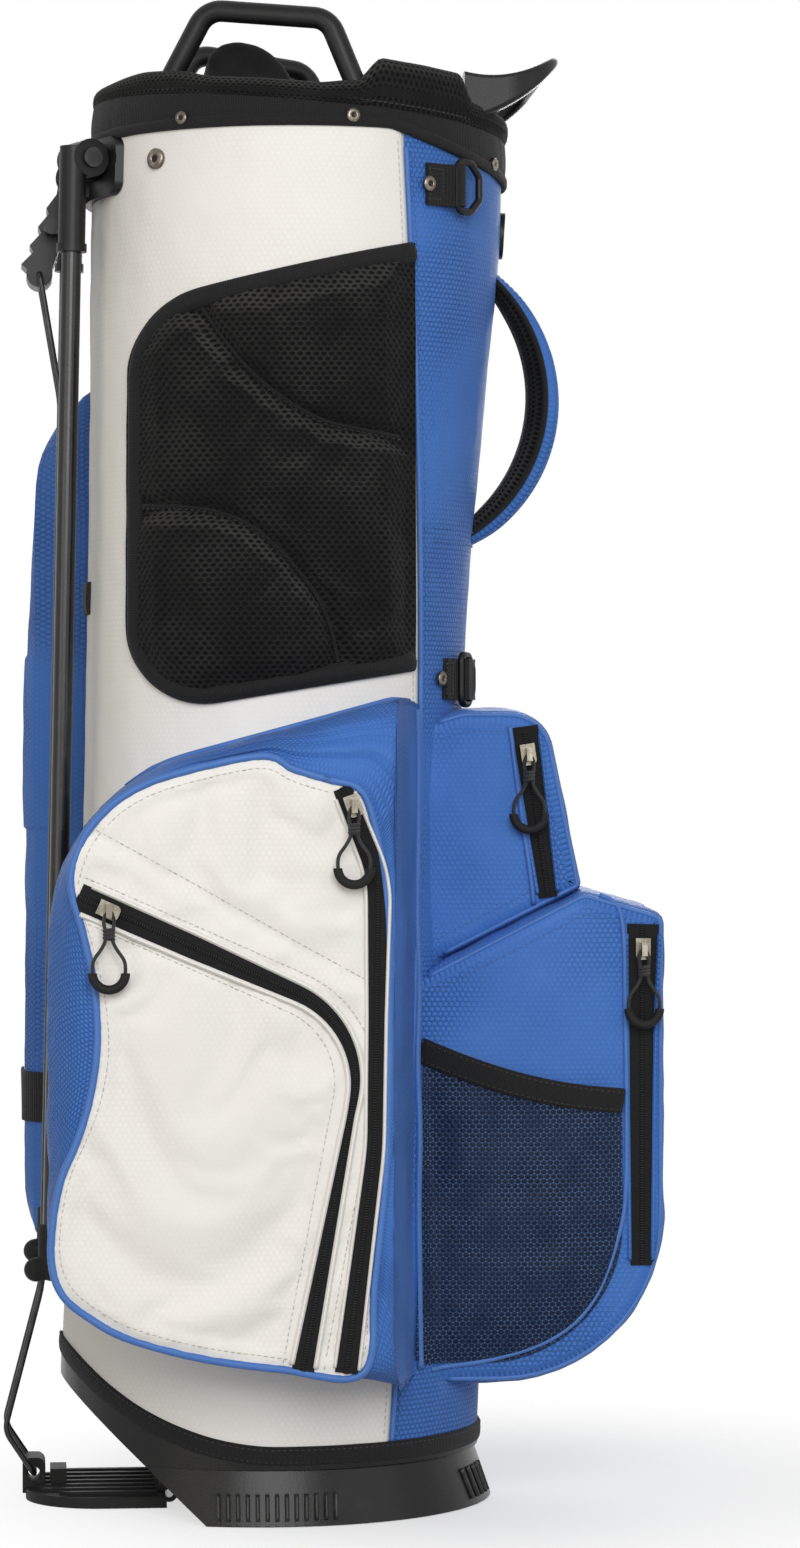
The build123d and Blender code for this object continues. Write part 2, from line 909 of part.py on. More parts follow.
def rivets():
    studs = []
    for side in (-1, 1):
        for x in band_rivets:
            fall = max(0, x - band_edge_bend) * math.tan(math.radians(band_drop_slope))
            z = collar_height - band_rivet_drop - fall
            studs.append(stud(x, z, rivet_radius, band_proud + seat_gap, side))
    studs.append(stud(*snap_place, snap_radius, seat_gap, -1))
    for tab in (top_tab, mid_tab):
        x = (tab[0] * 2 + tab[1]) / 3
        studs.append(stud(x, tab[2], tab_rivet_radius, tab_thickness + seat_gap, -1))
    return studs


def front_badge():
    point = end_point(badge_height, 1)
    disc = Pos(point.X, 0, badge_height) * Rot(0, 90, 0) * Cylinder(badge_radius, 4 * badge_thickness)
    return (disc & tube(badge_thickness)) - tube(seat_gap)


def leg_rest():
    back = end_point(rest_height, -1).X
    low = rest_height - rest_tall / 2
    slab = block(back - rest_tall, 0, -rest_half_width, rest_half_width, low, low + rest_tall)
    return skin_patch(slab, seat_gap, rest_thickness)


def zip_paths():
    main = FilletPolyline(*main_zip, radius=main_zip_round)
    side = FilletPolyline(*side_zip, radius=side_zip_rounds)
    return main, side


def zip_tape_main():
    surface = -near_front - near_panel_thickness
    return side_prism(trace(zip_paths()[0], zip_width), surface, surface - zip_thickness)


def zip_tape_side():
    surface = -near_front - near_panel_thickness
    return side_prism(trace(zip_paths()[1], zip_width * narrow_zip), surface, surface - zip_thickness)


def zip_tape_accessory():
    surface = -accessory_half_width
    return side_prism(trace(Line(*accessory_zip), zip_width), surface, surface - zip_thickness)


def zip_tape_ball():
    surface = -ball_half_width
    return side_prism(trace(Line(*ball_zip), zip_width), surface, surface - zip_thickness)


# Each slider: its zip's line, how far down that line it sits, and the depth of the cloth under its tape
sliders = {
    "main": (main_zip, 15.3, near_front + near_panel_thickness),
    "side": (side_zip, 10.0, near_front + near_panel_thickness),
    "accessory": (accessory_zip, 6.3, accessory_half_width),
    "ball": (ball_zip, 9.0, ball_half_width),
}


def slider_place(name):
    # Where a slider sits, the surface it rides on, and its zip's direction there in degrees
    line, along, cloth = sliders[name]
    start = Vector(*line[0])
    run = (Vector(*line[1]) - start).normalized()
    place = start + run * along
    return place.X, place.Y, cloth + zip_thickness, math.degrees(math.atan2(run.Y, run.X))


def slider_bail_drop():
    return run_gap + slider_height + bail_height / 2


def zip_slider(name):
    x, z, surface, turn = slider_place(name)
    seat = Plane((x, -surface - run_gap, z), x_dir=(1, 0, 0), z_dir=(0, -1, 0)) * Rot(0, 0, turn)
    flat = Rectangle(slider_length, slider_width)
    nose = flat.vertices().group_by(Axis.X)[-1]
    body = extrude(seat * fillet(nose, slider_width / 3), amount=slider_height)
    level = Plane((x, -surface - run_gap - slider_height, z), x_dir=(1, 0, 0), z_dir=(0, -1, 0))
    arch = level * Pos(0, 0, bail_height / 2) * Box(bail_width, bail_height + 1, bail_height + 0.4)
    eye = level * Pos(0, 0, bail_height / 2) * Rot(0, 90, 0) * Cylinder(cord_diameter / 2 + run_gap, 20)
    return (body + arch) - eye


def pull_origin(name):
    x, z, surface, turn = slider_place(name)
    return Pos(x, -surface - slider_bail_drop(), z)


def pull_cord(name):
    half = bail_width / 2 + cord_diameter
    neck = cord_diameter / 2 + run_gap
    low = -cord_length
    left = [
        (-grip_radius, 0, low),
        (-grip_radius, 0, low + grip_neck),
        (-neck, 0, -knot_drop - neck_drop),
        (-half, 0, 0),
    ]
    right = [(-x, y, z) for x, y, z in reversed(left)]
    loop = bent_rod(left + right, cord_bends + cord_bends[::-1], cord_diameter / 2)
    knot = Pos(0, 0, -knot_drop) * Cylinder(knot_radius, 2 * knot_radius)
    return pull_origin(name) * (loop + knot)


def pull_grip(name):
    low = -cord_length
    bow = ThreePointArc((-grip_radius, 0, low), (0, 0, low - grip_radius), (grip_radius, 0, low))
    grip = sweep(Plane(bow @ 0, z_dir=bow % 0) * Circle(grip_diameter / 2), path=bow)
    return pull_origin(name) * grip


def leg_pivot(side):
    back = end_point(leg_pivot_height, -1).X
    return Vector(back - leg_pivot_standoff, side * leg_pivot_y, leg_pivot_height)


def leg_axis(side):
    turn = math.radians(leg_splay)
    return Vector(side * math.sin(turn), math.cos(turn), 0)


def pivot_rod(side, radius, low, high):
    # A round bar on a leg's hinge line, measured outwards from the bag's middle
    pivot = leg_pivot(side)
    axis = leg_axis(side) * side
    return rod(pivot + axis * low, pivot + axis * high, radius)


def leg_line(side):
    pivot = leg_pivot(side)
    top = Vector(pivot.X - leg_offset, side * leg_y, leg_top)
    return top, Vector(top.X - leg_lean, side * leg_y, leg_bottom)


def leg_at(side, height):
    top, low = leg_line(side)
    return top + (low - top) * ((leg_top - height) / (leg_top - leg_bottom))


def leg_head(side):
    # The moulded head: an eye on the pivot and a sleeve that takes the tube
    half = leg_head_width / 2
    head = pivot_rod(side, leg_head_radius, -half, half)
    sleeve_radius = leg_diameter / 2 + sleeve_wall
    crown = leg_at(side, leg_pivot_height + leg_head_radius * crown_share)
    sleeve = rod(leg_at(side, sleeve_bottom), crown, sleeve_radius)
    lip_height, lip_proud = sleeve_lip
    lip_top = leg_at(side, sleeve_bottom + lip_height)
    shoulder = rod(leg_at(side, sleeve_bottom), lip_top, sleeve_radius + lip_proud)
    head = head + [sleeve, shoulder]
    head = head - rod(leg_at(side, sleeve_bottom - lip_height), leg_at(side, leg_top), leg_diameter / 2)
    return head - pivot_rod(side, leg_pin_diameter / 2 + pin_gap, -lug_reach, lug_reach)


def leg_tube(side):
    top, low = leg_line(side)
    outer = rod(top, low, leg_diameter / 2)
    return outer - rod(top, low, leg_diameter / 2 - leg_wall)


def leg_foot(side):
    # A rubber cup on the tube's end with a toe that points outwards
    radius = leg_diameter / 2 + foot_wall
    low = leg_at(side, foot_bottom + radius)
    cup = rod(low, leg_at(side, foot_bottom + foot_height), radius)
    toe_end = low + Vector(-foot_toe, 0, -foot_toe_drop)
    toe_radius = radius * foot_toe_share
    toe = rod(low, toe_end, toe_radius) + Pos(*low) * Sphere(radius)
    toe = toe + Pos(*toe_end) * Sphere(toe_radius)
    return (cup + toe) - rod(leg_at(side, leg_bottom), leg_at(side, leg_top), leg_diameter / 2)


def leg_pins():
    # One pin per leg, headed on the outside
    half = leg_head_width / 2 + run_gap
    pins = []
    for side in (-1, 1):
        shaft = pivot_rod(side, leg_pin_diameter / 2, -half - lug_thickness, half)
        head = pivot_rod(side, leg_pin_head / 2, half, half + leg_pin_head_height)
        pins.append(shaft + head)
    return pins


def yoke_pivot():
    return Vector(end_point(yoke_height, -1).X - yoke_standoff, 0, yoke_height)


def yoke_toe():
    pivot = yoke_pivot()
    return Vector(pivot.X + yoke_toe_x, 0, pivot.Z - yoke_toe_drop)


def cross_bar(point, radius, y_low, y_high):
    return rod((point.X, y_low, point.Z), (point.X, y_high, point.Z), radius)


def stand_bracket():
    # A plate on the tube's back with a lug for each leg and two cheeks for the yoke
    bracket_high = band_edge - run_gap
    plan = Pos(0, (bracket_low + bracket_high) / 2)
    plate = RectangleRounded(2 * bracket_half_width, bracket_high - bracket_low, bracket_corner)
    prism = extrude(Plane.YZ.offset(-2 * reach) * plan * plate, amount=2 * reach)
    body = skin_patch(prism, seat_gap, bracket_plate)
    half = leg_head_width / 2
    pivot = yoke_pivot()
    inner = yoke_width / 2 + run_gap
    for side in (-1, 1):
        eye = pivot_rod(side, leg_head_radius, -half - run_gap - lug_thickness, -half - run_gap)
        face = Plane(leg_pivot(side), x_dir=leg_axis(side) * side, z_dir=(0, 0, 1))
        toward = 1 if face.y_dir.X > 0 else -1
        centre = (-half - run_gap - lug_thickness / 2, toward * reach / 4)
        web = face * Pos(*centre) * Box(lug_thickness, reach / 2, 2 * leg_head_radius)
        lug = (eye + web) - tube(seat_gap)
        lug = lug & block(-reach, pivot.X + lug_reach, -reach, reach, 0, 4 * reach)
        cheek = cross_bar(pivot, yoke_knuckle + 1, side * inner, side * (inner + yoke_cheek))
        y_edges = sorted((side * inner, side * (inner + yoke_cheek)))
        z_edges = (pivot.Z - yoke_knuckle, pivot.Z + yoke_knuckle)
        arm = block(pivot.X, pivot.X + lug_reach, *y_edges, *z_edges)
        body = body + [lug, (cheek + arm) - tube(seat_gap)]
    for side in (-1, 1):
        body = body - pivot_rod(side, leg_head_radius + head_room, -half - run_gap, half + lug_reach / 3)
        body = body - pivot_rod(side, leg_pin_diameter / 2, -lug_reach, 0)
    return body - cross_bar(pivot, yoke_pin_diameter / 2, -lug_reach, lug_reach)


def yoke_pin():
    edge = yoke_width / 2 + run_gap + yoke_cheek
    return cross_bar(yoke_pivot(), yoke_pin_diameter / 2, -edge, edge)


def yoke():
    # A toothed wedge that hangs from the bracket and carries the wire at its toe
    pivot = yoke_pivot()
    toe = yoke_toe()
    along = (toe - pivot).normalized()
    out = Vector(along.Z, 0, -along.X)
    if out.X > 0:
        out = out * -1
    run = (toe - pivot).length
    points = [pivot - out * (yoke_knuckle * yoke_slim), toe - out * (yoke_toe_radius * yoke_slim)]
    points.append(toe + out * yoke_toe_radius)
    step = (run - yoke_knuckle) / yoke_teeth
    for index in range(yoke_teeth):
        low = toe - along * (step * index + yoke_tooth_gap[0])
        crest = yoke_toe_radius + yoke_tooth_depth - index * yoke_taper[0]
        root = yoke_toe_radius - index * yoke_taper[1]
        points.append(low + out * crest)
        points.append(low - along * (step - yoke_tooth_gap[1]) + out * root)
    points.append(pivot + out * (yoke_knuckle * yoke_slim))
    face = make_face(Polyline(*[(point.X, point.Z) for point in points], close=True))
    half = yoke_width / 2
    body = side_prism(face, half, -half)
    arm = (pivot + toe) * 0.5
    body = body + cross_bar(pivot, yoke_knuckle, -half, half)
    body = body + cross_bar(toe, yoke_toe_radius, -half, half)
    body = body + cross_bar(arm + out * yoke_arm_out, yoke_arm_radius, -yoke_arm_half, yoke_arm_half)
    body = body - cross_bar(pivot, yoke_pin_diameter / 2 + pin_gap, -lug_reach, lug_reach)
    return body - cross_bar(toe, wire_diameter / 2 + pin_gap, -lug_reach, lug_reach)


def actuator_wire():
    # One wire bent into a U: hooked into the yoke's toe, down both sides and across the pedal's clip
    toe = yoke_toe()
    hook = yoke_width / 2 - wire_hook
    near = [
        (toe.X, -hook, toe.Z),
        (toe.X, -wire_half_gap, toe.Z),
        (toe.X + wire_knee[0], -wire_half_gap, toe.Z + wire_knee[1]),
        (clip_x + wire_low[0], -wire_half_gap, clip_z + wire_low[1]),
        (clip_x + wire_elbow[0], -wire_half_gap, clip_z + wire_elbow[1]),
        (clip_x, -wire_half_gap, clip_z),
    ]
    far = [(x, -y, z) for x, y, z in reversed(near)]
    return bent_rod(near + far, wire_bends + wire_bends[::-1], wire_diameter / 2)


def pedal():
    # A ribbed oval plate with knuckles for its pin and a clip for the wire
    back = pedal_pivot_x - pedal_back_gap
    plate = Pos((pedal_tip + back) / 2, 0) * Rectangle(back - pedal_tip, 2 * pedal_half_width)
    plate = fillet(plate.vertices().group_by(Axis.X)[0], pedal_corner)
    body = plan_prism(plate, pedal_clear, pedal_clear + pedal_plate)
    face = plan_prism(offset(plate, -pedal_margin), 0, reach)
    top = pedal_clear + pedal_plate
    ribs = []
    for index in range(pedal_rib_count):
        y = (index - (pedal_rib_count - 1) / 2) * pedal_rib_pitch
        half = pedal_rib_width / 2
        rib_top = top + pedal_rib_height
        rib = block(pedal_tip, back - pedal_margin, y - half, y + half, top - pedal_clear, rib_top)
        ribs.append(rib & face)
    sides = (-clip_half_width, clip_half_width)
    clip = block(clip_x - clip_half_length, clip_x + clip_half_length, *sides, top / 2, clip_z + clip_head)
    clip = fillet(clip.edges().filter_by(Axis.Y).group_by(Axis.Z)[-1], clip_round)
    stop = block(clip_x + stop_start, clip_x + stop_end, *sides, top / 2, clip_z + stop_head)
    knuckle_half = pedal_lug_y - pedal_lug_width / 2 - run_gap
    pivot = Vector(pedal_pivot_x, 0, pedal_pivot_z)
    knuckle = cross_bar(pivot, pedal_knuckle, -knuckle_half, knuckle_half)
    body = body + ribs + [clip, stop, knuckle]
    for side in (-1, 1):
        room = pedal_lug_width / 2 + run_gap
        y_edges = (side * pedal_lug_y - room, side * pedal_lug_y + room)
        x_edge = pedal_pivot_x - pedal_knuckle - pedal_heel_gap
        body = body - block(x_edge, 0, y_edges[0], y_edges[1], 0, reach)
    slot = Pos(clip_x, clip_z - clip_slot_drop) * SlotOverall(*clip_slot, rotation=90)
    body = body - side_prism(slot, pedal_half_width, -pedal_half_width)
    return body - cross_bar(pivot, pedal_pin_diameter / 2 + pin_gap, -reach, reach)


def pedal_pin():
    edge = pedal_lug_y + pedal_lug_width / 2
    pivot = Vector(pedal_pivot_x, 0, pedal_pivot_z)
    return cross_bar(pivot, pedal_pin_diameter / 2, -edge, edge)


def all_parts():
    front, near, far = bag_panels()
    moulding = collar()
    parts = {
        "front_panel": front,
        "side_panel_near": near,
        "side_panel_far": far,
        "base_boot": base_boot(),
        "base_trim": base_trim(),
        "collar": moulding,
        "collar_pad": pad_oval() - moulding,
        "collar_band": collar_band(),
        "club_divider": club_divider(),
        "support_stays": support_stays(),
        "hip_pad": hip_pad(),
        "hip_binding": hip_binding(),
        "apparel_pocket_near": apparel_pocket_near(),
        "apparel_panel_near": apparel_panel_near(),
        "apparel_pocket_far": apparel_pocket_far(),
        "far_pocket_band": far_pocket_band(),
        "accessory_pocket": accessory_pocket(),
        "ball_pocket": ball_pocket(),
        "mesh_pouch": mesh_pouch(),
        "mesh_binding": mesh_binding(),
        "grab_handle": grab_handle(),
        "strap_tab_top": strap_tab(top_tab),
        "strap_tab_mid": strap_tab(mid_tab),
        "d_ring_top": d_ring(top_tab),
        "d_ring_mid": d_ring(mid_tab),
        "rivets": rivets(),
        "front_badge": front_badge(),
        "leg_rest": leg_rest(),
        "zip_tape_main": zip_tape_main(),
        "zip_tape_side": zip_tape_side(),
        "zip_tape_accessory": zip_tape_accessory(),
        "zip_tape_ball": zip_tape_ball(),
        "stand_bracket": stand_bracket(),
        "leg_pins": leg_pins(),
        "yoke": yoke(),
        "yoke_pin": yoke_pin(),
        "actuator_wire": actuator_wire(),
        "pedal": pedal(),
        "pedal_pin": pedal_pin(),
    }
    for side, word in ((-1, "near"), (1, "far")):
        parts["leg_head_" + word] = leg_head(side)
        parts["leg_tube_" + word] = leg_tube(side)
        parts["leg_foot_" + word] = leg_foot(side)
    for name in sliders:
        parts["zip_slider_" + name] = zip_slider(name)
        parts["pull_cord_" + name] = pull_cord(name)
        parts["pull_grip_" + name] = pull_grip(name)
    return parts


def solids_of(shape):
    if isinstance(shape, (list, tuple)):
        found = []
        for piece in shape:
            found.extend(piece.solids())
        return found
    return list(shape.solids())


os.makedirs("parts", exist_ok=True)
for node, shape in all_parts().items():
    solids = solids_of(shape)
    whole = solids[0] if len(solids) == 1 else Compound(children=solids)
    export_step(whole, "parts/" + node + ".step")
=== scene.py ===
import math

import bpy
import numpy as np
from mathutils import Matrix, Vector
from mathutils.bvhtree import BVHTree
from mathutils.geometry import delaunay_2d_cdt


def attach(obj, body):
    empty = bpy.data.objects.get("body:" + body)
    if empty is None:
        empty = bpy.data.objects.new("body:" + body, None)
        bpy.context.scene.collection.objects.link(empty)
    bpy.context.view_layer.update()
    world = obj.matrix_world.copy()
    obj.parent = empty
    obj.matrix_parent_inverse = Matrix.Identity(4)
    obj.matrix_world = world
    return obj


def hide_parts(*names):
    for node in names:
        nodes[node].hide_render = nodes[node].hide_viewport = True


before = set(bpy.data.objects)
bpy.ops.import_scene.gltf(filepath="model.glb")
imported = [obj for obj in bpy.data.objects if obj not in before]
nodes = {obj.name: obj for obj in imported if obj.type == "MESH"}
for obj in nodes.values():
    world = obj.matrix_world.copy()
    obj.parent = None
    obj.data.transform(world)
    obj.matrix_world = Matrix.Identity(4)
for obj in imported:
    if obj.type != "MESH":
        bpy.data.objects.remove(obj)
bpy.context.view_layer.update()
scene = bpy.context.scene
mm = 0.001
fullTurn = 2 * math.pi


class Wire:
    # a node tree and one of its outputs, so that shader sums read as plain sums
    def __init__(self, tree, out=None):
        self.tree = tree
        self.out = out

    def add(self, kind, settings=None, sockets=None, pick=0):
        node = self.tree.nodes.new("ShaderNode" + kind)
        for key, value in (settings or {}).items():
            setattr(node, key, value)
        for key, value in (sockets or {}).items():
            if isinstance(value, Wire):
                self.tree.links.new(value.out, node.inputs[key])
            elif isinstance(value, tuple) and len(value) == 3 and node.inputs[key].type == "RGBA":
                node.inputs[key].default_value = (*value, 1)
            else:
                node.inputs[key].default_value = value
        return Wire(self.tree, node.outputs[pick] if len(node.outputs) else None)

    def calc(self, operation, first, second=0.0):
        return self.add("Math", {"operation": operation}, {0: first, 1: second})

    def vector(self, operation, *inputs, pick=0):
        return self.add("VectorMath", {"operation": operation}, dict(enumerate(inputs)), pick)

    def __add__(self, other):
        return self.calc("ADD", self, other)

    def __rsub__(self, other):
        return self.calc("SUBTRACT", other, self)

    def __mul__(self, other):
        return self.calc("MULTIPLY", self, other)

    __radd__ = __add__
    __rmul__ = __mul__

    def step(self, low, high):  # 0 below low, 1 above high, soft between
        kind = {"interpolation_type": "SMOOTHSTEP"}
        return self.add("MapRange", kind, {"Value": self, "From Min": low, "From Max": high})

    def between(self, low, high):  # carries 0 to 1 over into low to high
        return low + (high - low) * self

    def mixed(self, under, over):  # this value carries one colour over into another
        return self.add("Mix", {"data_type": "RGBA"}, {0: self, 6: under, 7: over}, 2)

    def scaled(self, *factors):
        return self.vector("MULTIPLY", self, factors)

    def noise(self, size, detail=2.0, rough=0.5):  # size in mm
        sockets = {"Vector": self, "Scale": 1 / (size * mm), "Detail": detail, "Roughness": rough}
        return self.add("TexNoise", {}, sockets)

    def part(self, axis):
        return self.add("SeparateXYZ", {}, {0: self}, axis)

    def wave(self, axis, pitch):  # -1 to 1 along one axis, pitch in mm
        return self.calc("SINE", self.part(axis) * (fullTurn / (pitch * mm)))

    def rib(self, axis, pitch):  # the same, 0 to 1
        return self.wave(axis, pitch) * 0.5 + 0.5

    def honeycomb(self, wide, tall):  # distance to the nearest cell's middle, 0 to 0.58
        flat = self.scaled(1 / (wide * mm), 1 / (tall * mm), 0)
        reach, back = (0.5, 0.866, 0.5), (-0.5, -0.866, -0.5)
        shifted = self.vector("ADD", flat, (0.5, 0.866, 0))
        cells = [self.vector("WRAP", lattice, reach, back) for lattice in (flat, shifted)]
        return self.calc("MINIMUM", *(self.vector("LENGTH", cell, pick=1) for cell in cells))


def blankMaterial(name):
    material = bpy.data.materials.new(name)
    material.use_nodes = True
    material.node_tree.nodes.clear()
    return material, Wire(material.node_tree)


finish = {}


def finishOf(name, recipe, called=None, **fixed):
    # recipe takes the sewing coordinates and the solid ones, and gives what changes over the surface
    material, wire = blankMaterial(called or name)
    flat, solid = (wire.add("TexCoord", pick=k) for k in (2, 3))
    made = recipe(flat, solid)
    height, depth = made.pop("bump")
    made["Normal"] = wire.add("Bump", {}, {"Height": height, "Distance": depth * mm, "Strength": 1.0})
    words = {key.replace("_", " "): value for key, value in fixed.items()}
    shader = wire.add("BsdfPrincipled", {}, {**words, **made})
    wire.add("OutputMaterial", {}, {"Surface": shader})
    finish[name] = material


# lit: the cloth's colour; deep: a painted shade in the emboss grooves, also used for random darker clouds and
# lint; worn: random lighter wear
clothLook = {
    "blue": {"lit": (0.056, 0.174, 0.525), "deep": (0.03, 0.105, 0.36), "worn": (0.075, 0.2, 0.55),
             "cell": 3.4, "emboss": 0.75, "weave": 0.9, "rough": (0.46, 0.66), "fade": (0.36, 0.62)},
    "white": {"lit": (0.8, 0.783, 0.752), "deep": (0.755, 0.733, 0.692), "worn": (0.81, 0.797, 0.772),
              "cell": 3.6, "emboss": 0.07, "weave": 0.8, "rough": (0.4, 0.58), "fade": (0.3, 0.7)},
}


def clothFinish(name, look):
    def recipe(flat, solid):
        cell = flat.honeycomb(look["cell"], look["cell"])
        rim = cell.step(0.26, 0.5) * (solid.noise(95, 1).step(*look["fade"]) * 0.8 + 0.2)
        threads = flat.wave(0, look["weave"]) * flat.wave(1, look["weave"])
        cloud = solid.noise(70, 3).step(0.3, 0.7)
        lint = solid.noise(2.4, 2)
        worn = solid.noise(28, 4, 0.6).step(0.5, 0.85) * 0.35
        # the cell rims, the emboss's grooves, take the deep colour: a painted shade in the grooves, mixed
        # with random darker clouds and lint
        tone = (rim * 0.7 + cloud * 0.2 + lint * 0.1).mixed(look["lit"], look["deep"])
        height = (1 - rim) * look["emboss"] + threads * 0.05 + lint * 0.12 + solid.noise(14, 2) * 0.25
        return {"Base Color": worn.mixed(tone, look["worn"]), "bump": (height, 0.9),
                "Roughness": (rim * 0.5 + cloud * 0.5).between(*look["rough"])}

    finishOf(name, recipe, name + "Cloth", Sheen_Weight=0.04, Sheen_Roughness=0.45, Specular_IOR_Level=0.2)


# bloom: the lighter yarn colour, used for random lighter patches and for the painted highlight where the mesh
# faces up
meshLook = {"yarn": (0.0085, 0.0083, 0.0083), "hole": (0.0012, 0.0012, 0.0014),
            "bloom": (0.042, 0.041, 0.0405),
            "spacer": ("hipSpacerMesh", (4.3, 3.3), 1.1), "rimMesh": ("rimSpacerMesh", (3.5, 2.6), 0.9)}


def spacerMeshFinish(name):
    called, cell, depth = meshLook[name]

    def recipe(flat, solid):
        yarn = flat.honeycomb(*cell).step(0.2, 0.42)
        fuzz = solid.noise(1.1, 2)
        bloom = solid.noise(40, 3).step(0.35, 0.75) * yarn
        tone = yarn.mixed(meshLook["hole"], meshLook["yarn"])
        # painted highlight: the yarn takes the lighter bloom colour where the mesh faces up, as if lit from
        # above
        paintedHighlight = flat.add("NewGeometry", pick=1).part(2).step(0.1, 0.5) * yarn
        return {"Base Color": (bloom * 0.35 + paintedHighlight * 0.65).mixed(tone, meshLook["bloom"]),
                "Roughness": 0.72 + fuzz * 0.2, "bump": (yarn * 0.8 + fuzz * 0.2, depth)}

    finishOf(name, recipe, called, Sheen_Weight=0.03, Sheen_Roughness=0.5, Specular_IOR_Level=0.1)


# dark and light colour, width of the ribs, depth of the weave
tapeLook = {"binding": ((0.003, 0.003, 0.0035), (0.012, 0.012, 0.0125), 1.5, 0.35),
            "webbing": ((0.004, 0.004, 0.0045), (0.016, 0.016, 0.0165), 2.2, 0.5),
            "zipTape": ((0.002, 0.002, 0.0025), (0.009, 0.009, 0.0095), 0.9, 0.2)}


def tapeFinish(name, dark, light, pitch, depth):
    def recipe(flat, solid):
        rib, cross = flat.rib(0, pitch), flat.rib(1, pitch * 0.7)
        fuzz = solid.noise(1.6, 3)
        return {"Base Color": (rib * 0.6 + fuzz * 0.4).mixed(dark, light), "Roughness": 0.6 + fuzz * 0.3,
                "bump": (rib * 0.6 + cross * 0.25 + fuzz * 0.3, depth)}

    finishOf(name, recipe, Sheen_Weight=0.05, Specular_IOR_Level=0.18)


# light: the painted highlight colour of the glints on the yarn; deep: the painted shade shown in the holes
netLook = {"cell": (3.9, 3.2), "hole": 0.36, "edge": 0.09,
           "yarn": (0.013, 0.031, 0.08), "light": (0.09, 0.155, 0.29), "deep": (0.001, 0.003, 0.012)}


def netFinish():
    def recipe(flat, solid):
        gap = flat.honeycomb(*netLook["cell"])
        yarn = gap.step(netLook["hole"], netLook["hole"] + netLook["edge"])
        glint = gap.step(0.44, 0.56) * solid.noise(14, 2).step(0.2, 0.7)
        thread = glint.mixed(netLook["yarn"], netLook["light"])
        # the holes, 70 % opaque, take the deep colour: a painted shade for the dim pocket behind the net;
        # glint is a painted highlight on the yarn
        return {"Base Color": yarn.mixed(netLook["deep"], thread), "Alpha": yarn * 0.3 + 0.7,
                "Roughness": 0.5 + gap * 0.3, "bump": (gap, 0.5)}

    finishOf("net", recipe, "pouchNet", Specular_IOR_Level=0.2)


# colour, colour where it is rubbed, roughness from and to, depth of the grain
plasticLook = {"mouldedBlack": ((0.006, 0.006, 0.0065), (0.017, 0.017, 0.018), (0.34, 0.5), 0.1),
               "rubberBlack": ((0.006, 0.006, 0.006), (0.019, 0.019, 0.018), (0.62, 0.85), 0.22),
               "bootBlack": ((0.006, 0.006, 0.006), (0.016, 0.0155, 0.0145), (0.24, 0.4), 0.14),
               # the grip ribs' black, plain and rubbed, is lighter than the boot's: a painted highlight on
               # the bars
               "ribBlack": ((0.02, 0.02, 0.0195), (0.085, 0.082, 0.077), (0.26, 0.4), 0.08),
               "coilBlack": ((0.005, 0.005, 0.0055), (0.014, 0.014, 0.015), (0.28, 0.4), 0.05),
               "stayGrey": ((0.42, 0.41, 0.38), (0.5, 0.49, 0.46), (0.4, 0.6), 0.1)}


def plasticFinish(name, base, rub, rough, depth):
    def recipe(flat, solid):
        grain = solid.noise(0.9, 2)
        scuff = solid.noise(22, 5, 0.65).step(0.52, 0.8)
        streak = solid.scaled(1, 1, 0.12).noise(5, 3).step(0.55, 0.8)
        return {"Base Color": (scuff * 0.6 + streak * 0.25).mixed(base, rub),
                "Roughness": (grain * 0.5 + scuff * 0.5).between(*rough),
                "bump": (grain * 0.7 + scuff * 0.3, depth)}

    finishOf(name, recipe, Specular_IOR_Level=0.22)


# colour, colour where it is rubbed, roughness from and to, how much of it is bare metal
metalLook = {"legBlack": ((0.011, 0.011, 0.012), (0.024, 0.024, 0.025), (0.2, 0.36), 0.35),
             "wireBlack": ((0.012, 0.012, 0.013), (0.07, 0.07, 0.07), (0.28, 0.45), 0.5),
             "steel": ((0.5, 0.5, 0.51), (0.62, 0.62, 0.62), (0.22, 0.4), 1.0),
             "nickel": ((0.17, 0.152, 0.118), (0.42, 0.385, 0.32), (0.2, 0.38), 1.0),
             "antique": ((0.1, 0.082, 0.064), (0.4, 0.36, 0.3), (0.22, 0.4), 1.0)}


def metalFinish(name, base, rub, rough, metal):
    def recipe(flat, solid):
        brushed = solid.scaled(1, 1, 0.05).noise(1.2, 3)
        patch = solid.noise(12, 4, 0.6).step(0.45, 0.8)
        return {"Base Color": (patch * 0.7 + brushed * 0.2).mixed(base, rub),
                "Roughness": (brushed * 0.6 + patch * 0.4).between(*rough),
                "bump": (brushed * 0.6 + solid.noise(0.8, 2) * 0.4, 0.05)}

    finishOf(name, recipe, Metallic=metal)


# colour, length of one twist, depth of the ply
threadLook = {"blueThread": ((0.09, 0.24, 0.6), 0.9, 0.2), "whiteThread": ((0.8, 0.78, 0.74), 0.9, 0.2),
              "blackThread": ((0.02, 0.02, 0.021), 0.9, 0.2), "cordBlack": ((0.011, 0.011, 0.012), 1.6, 0.35)}


def threadFinish(name, shade, twist, depth):
    def recipe(flat, solid):
        lay = (flat.part(0) + flat.part(1) * 1.4) * (fullTurn / (twist * mm))
        ply = flat.calc("SINE", lay) * 0.5 + 0.5
        fuzz = solid.noise(0.7, 2)
        dark = tuple(part * 0.45 for part in shade)
        return {"Base Color": (ply * 0.7 + fuzz * 0.3).mixed(dark, shade), "Roughness": 0.5 + fuzz * 0.3,
                "bump": (ply * 0.8 + fuzz * 0.2, depth)}

    finishOf(name, recipe, Sheen_Weight=0.1)


pipingLook = {"lit": (0.05, 0.165, 0.48), "deep": (0.03, 0.11, 0.36), "rib": 1.3}


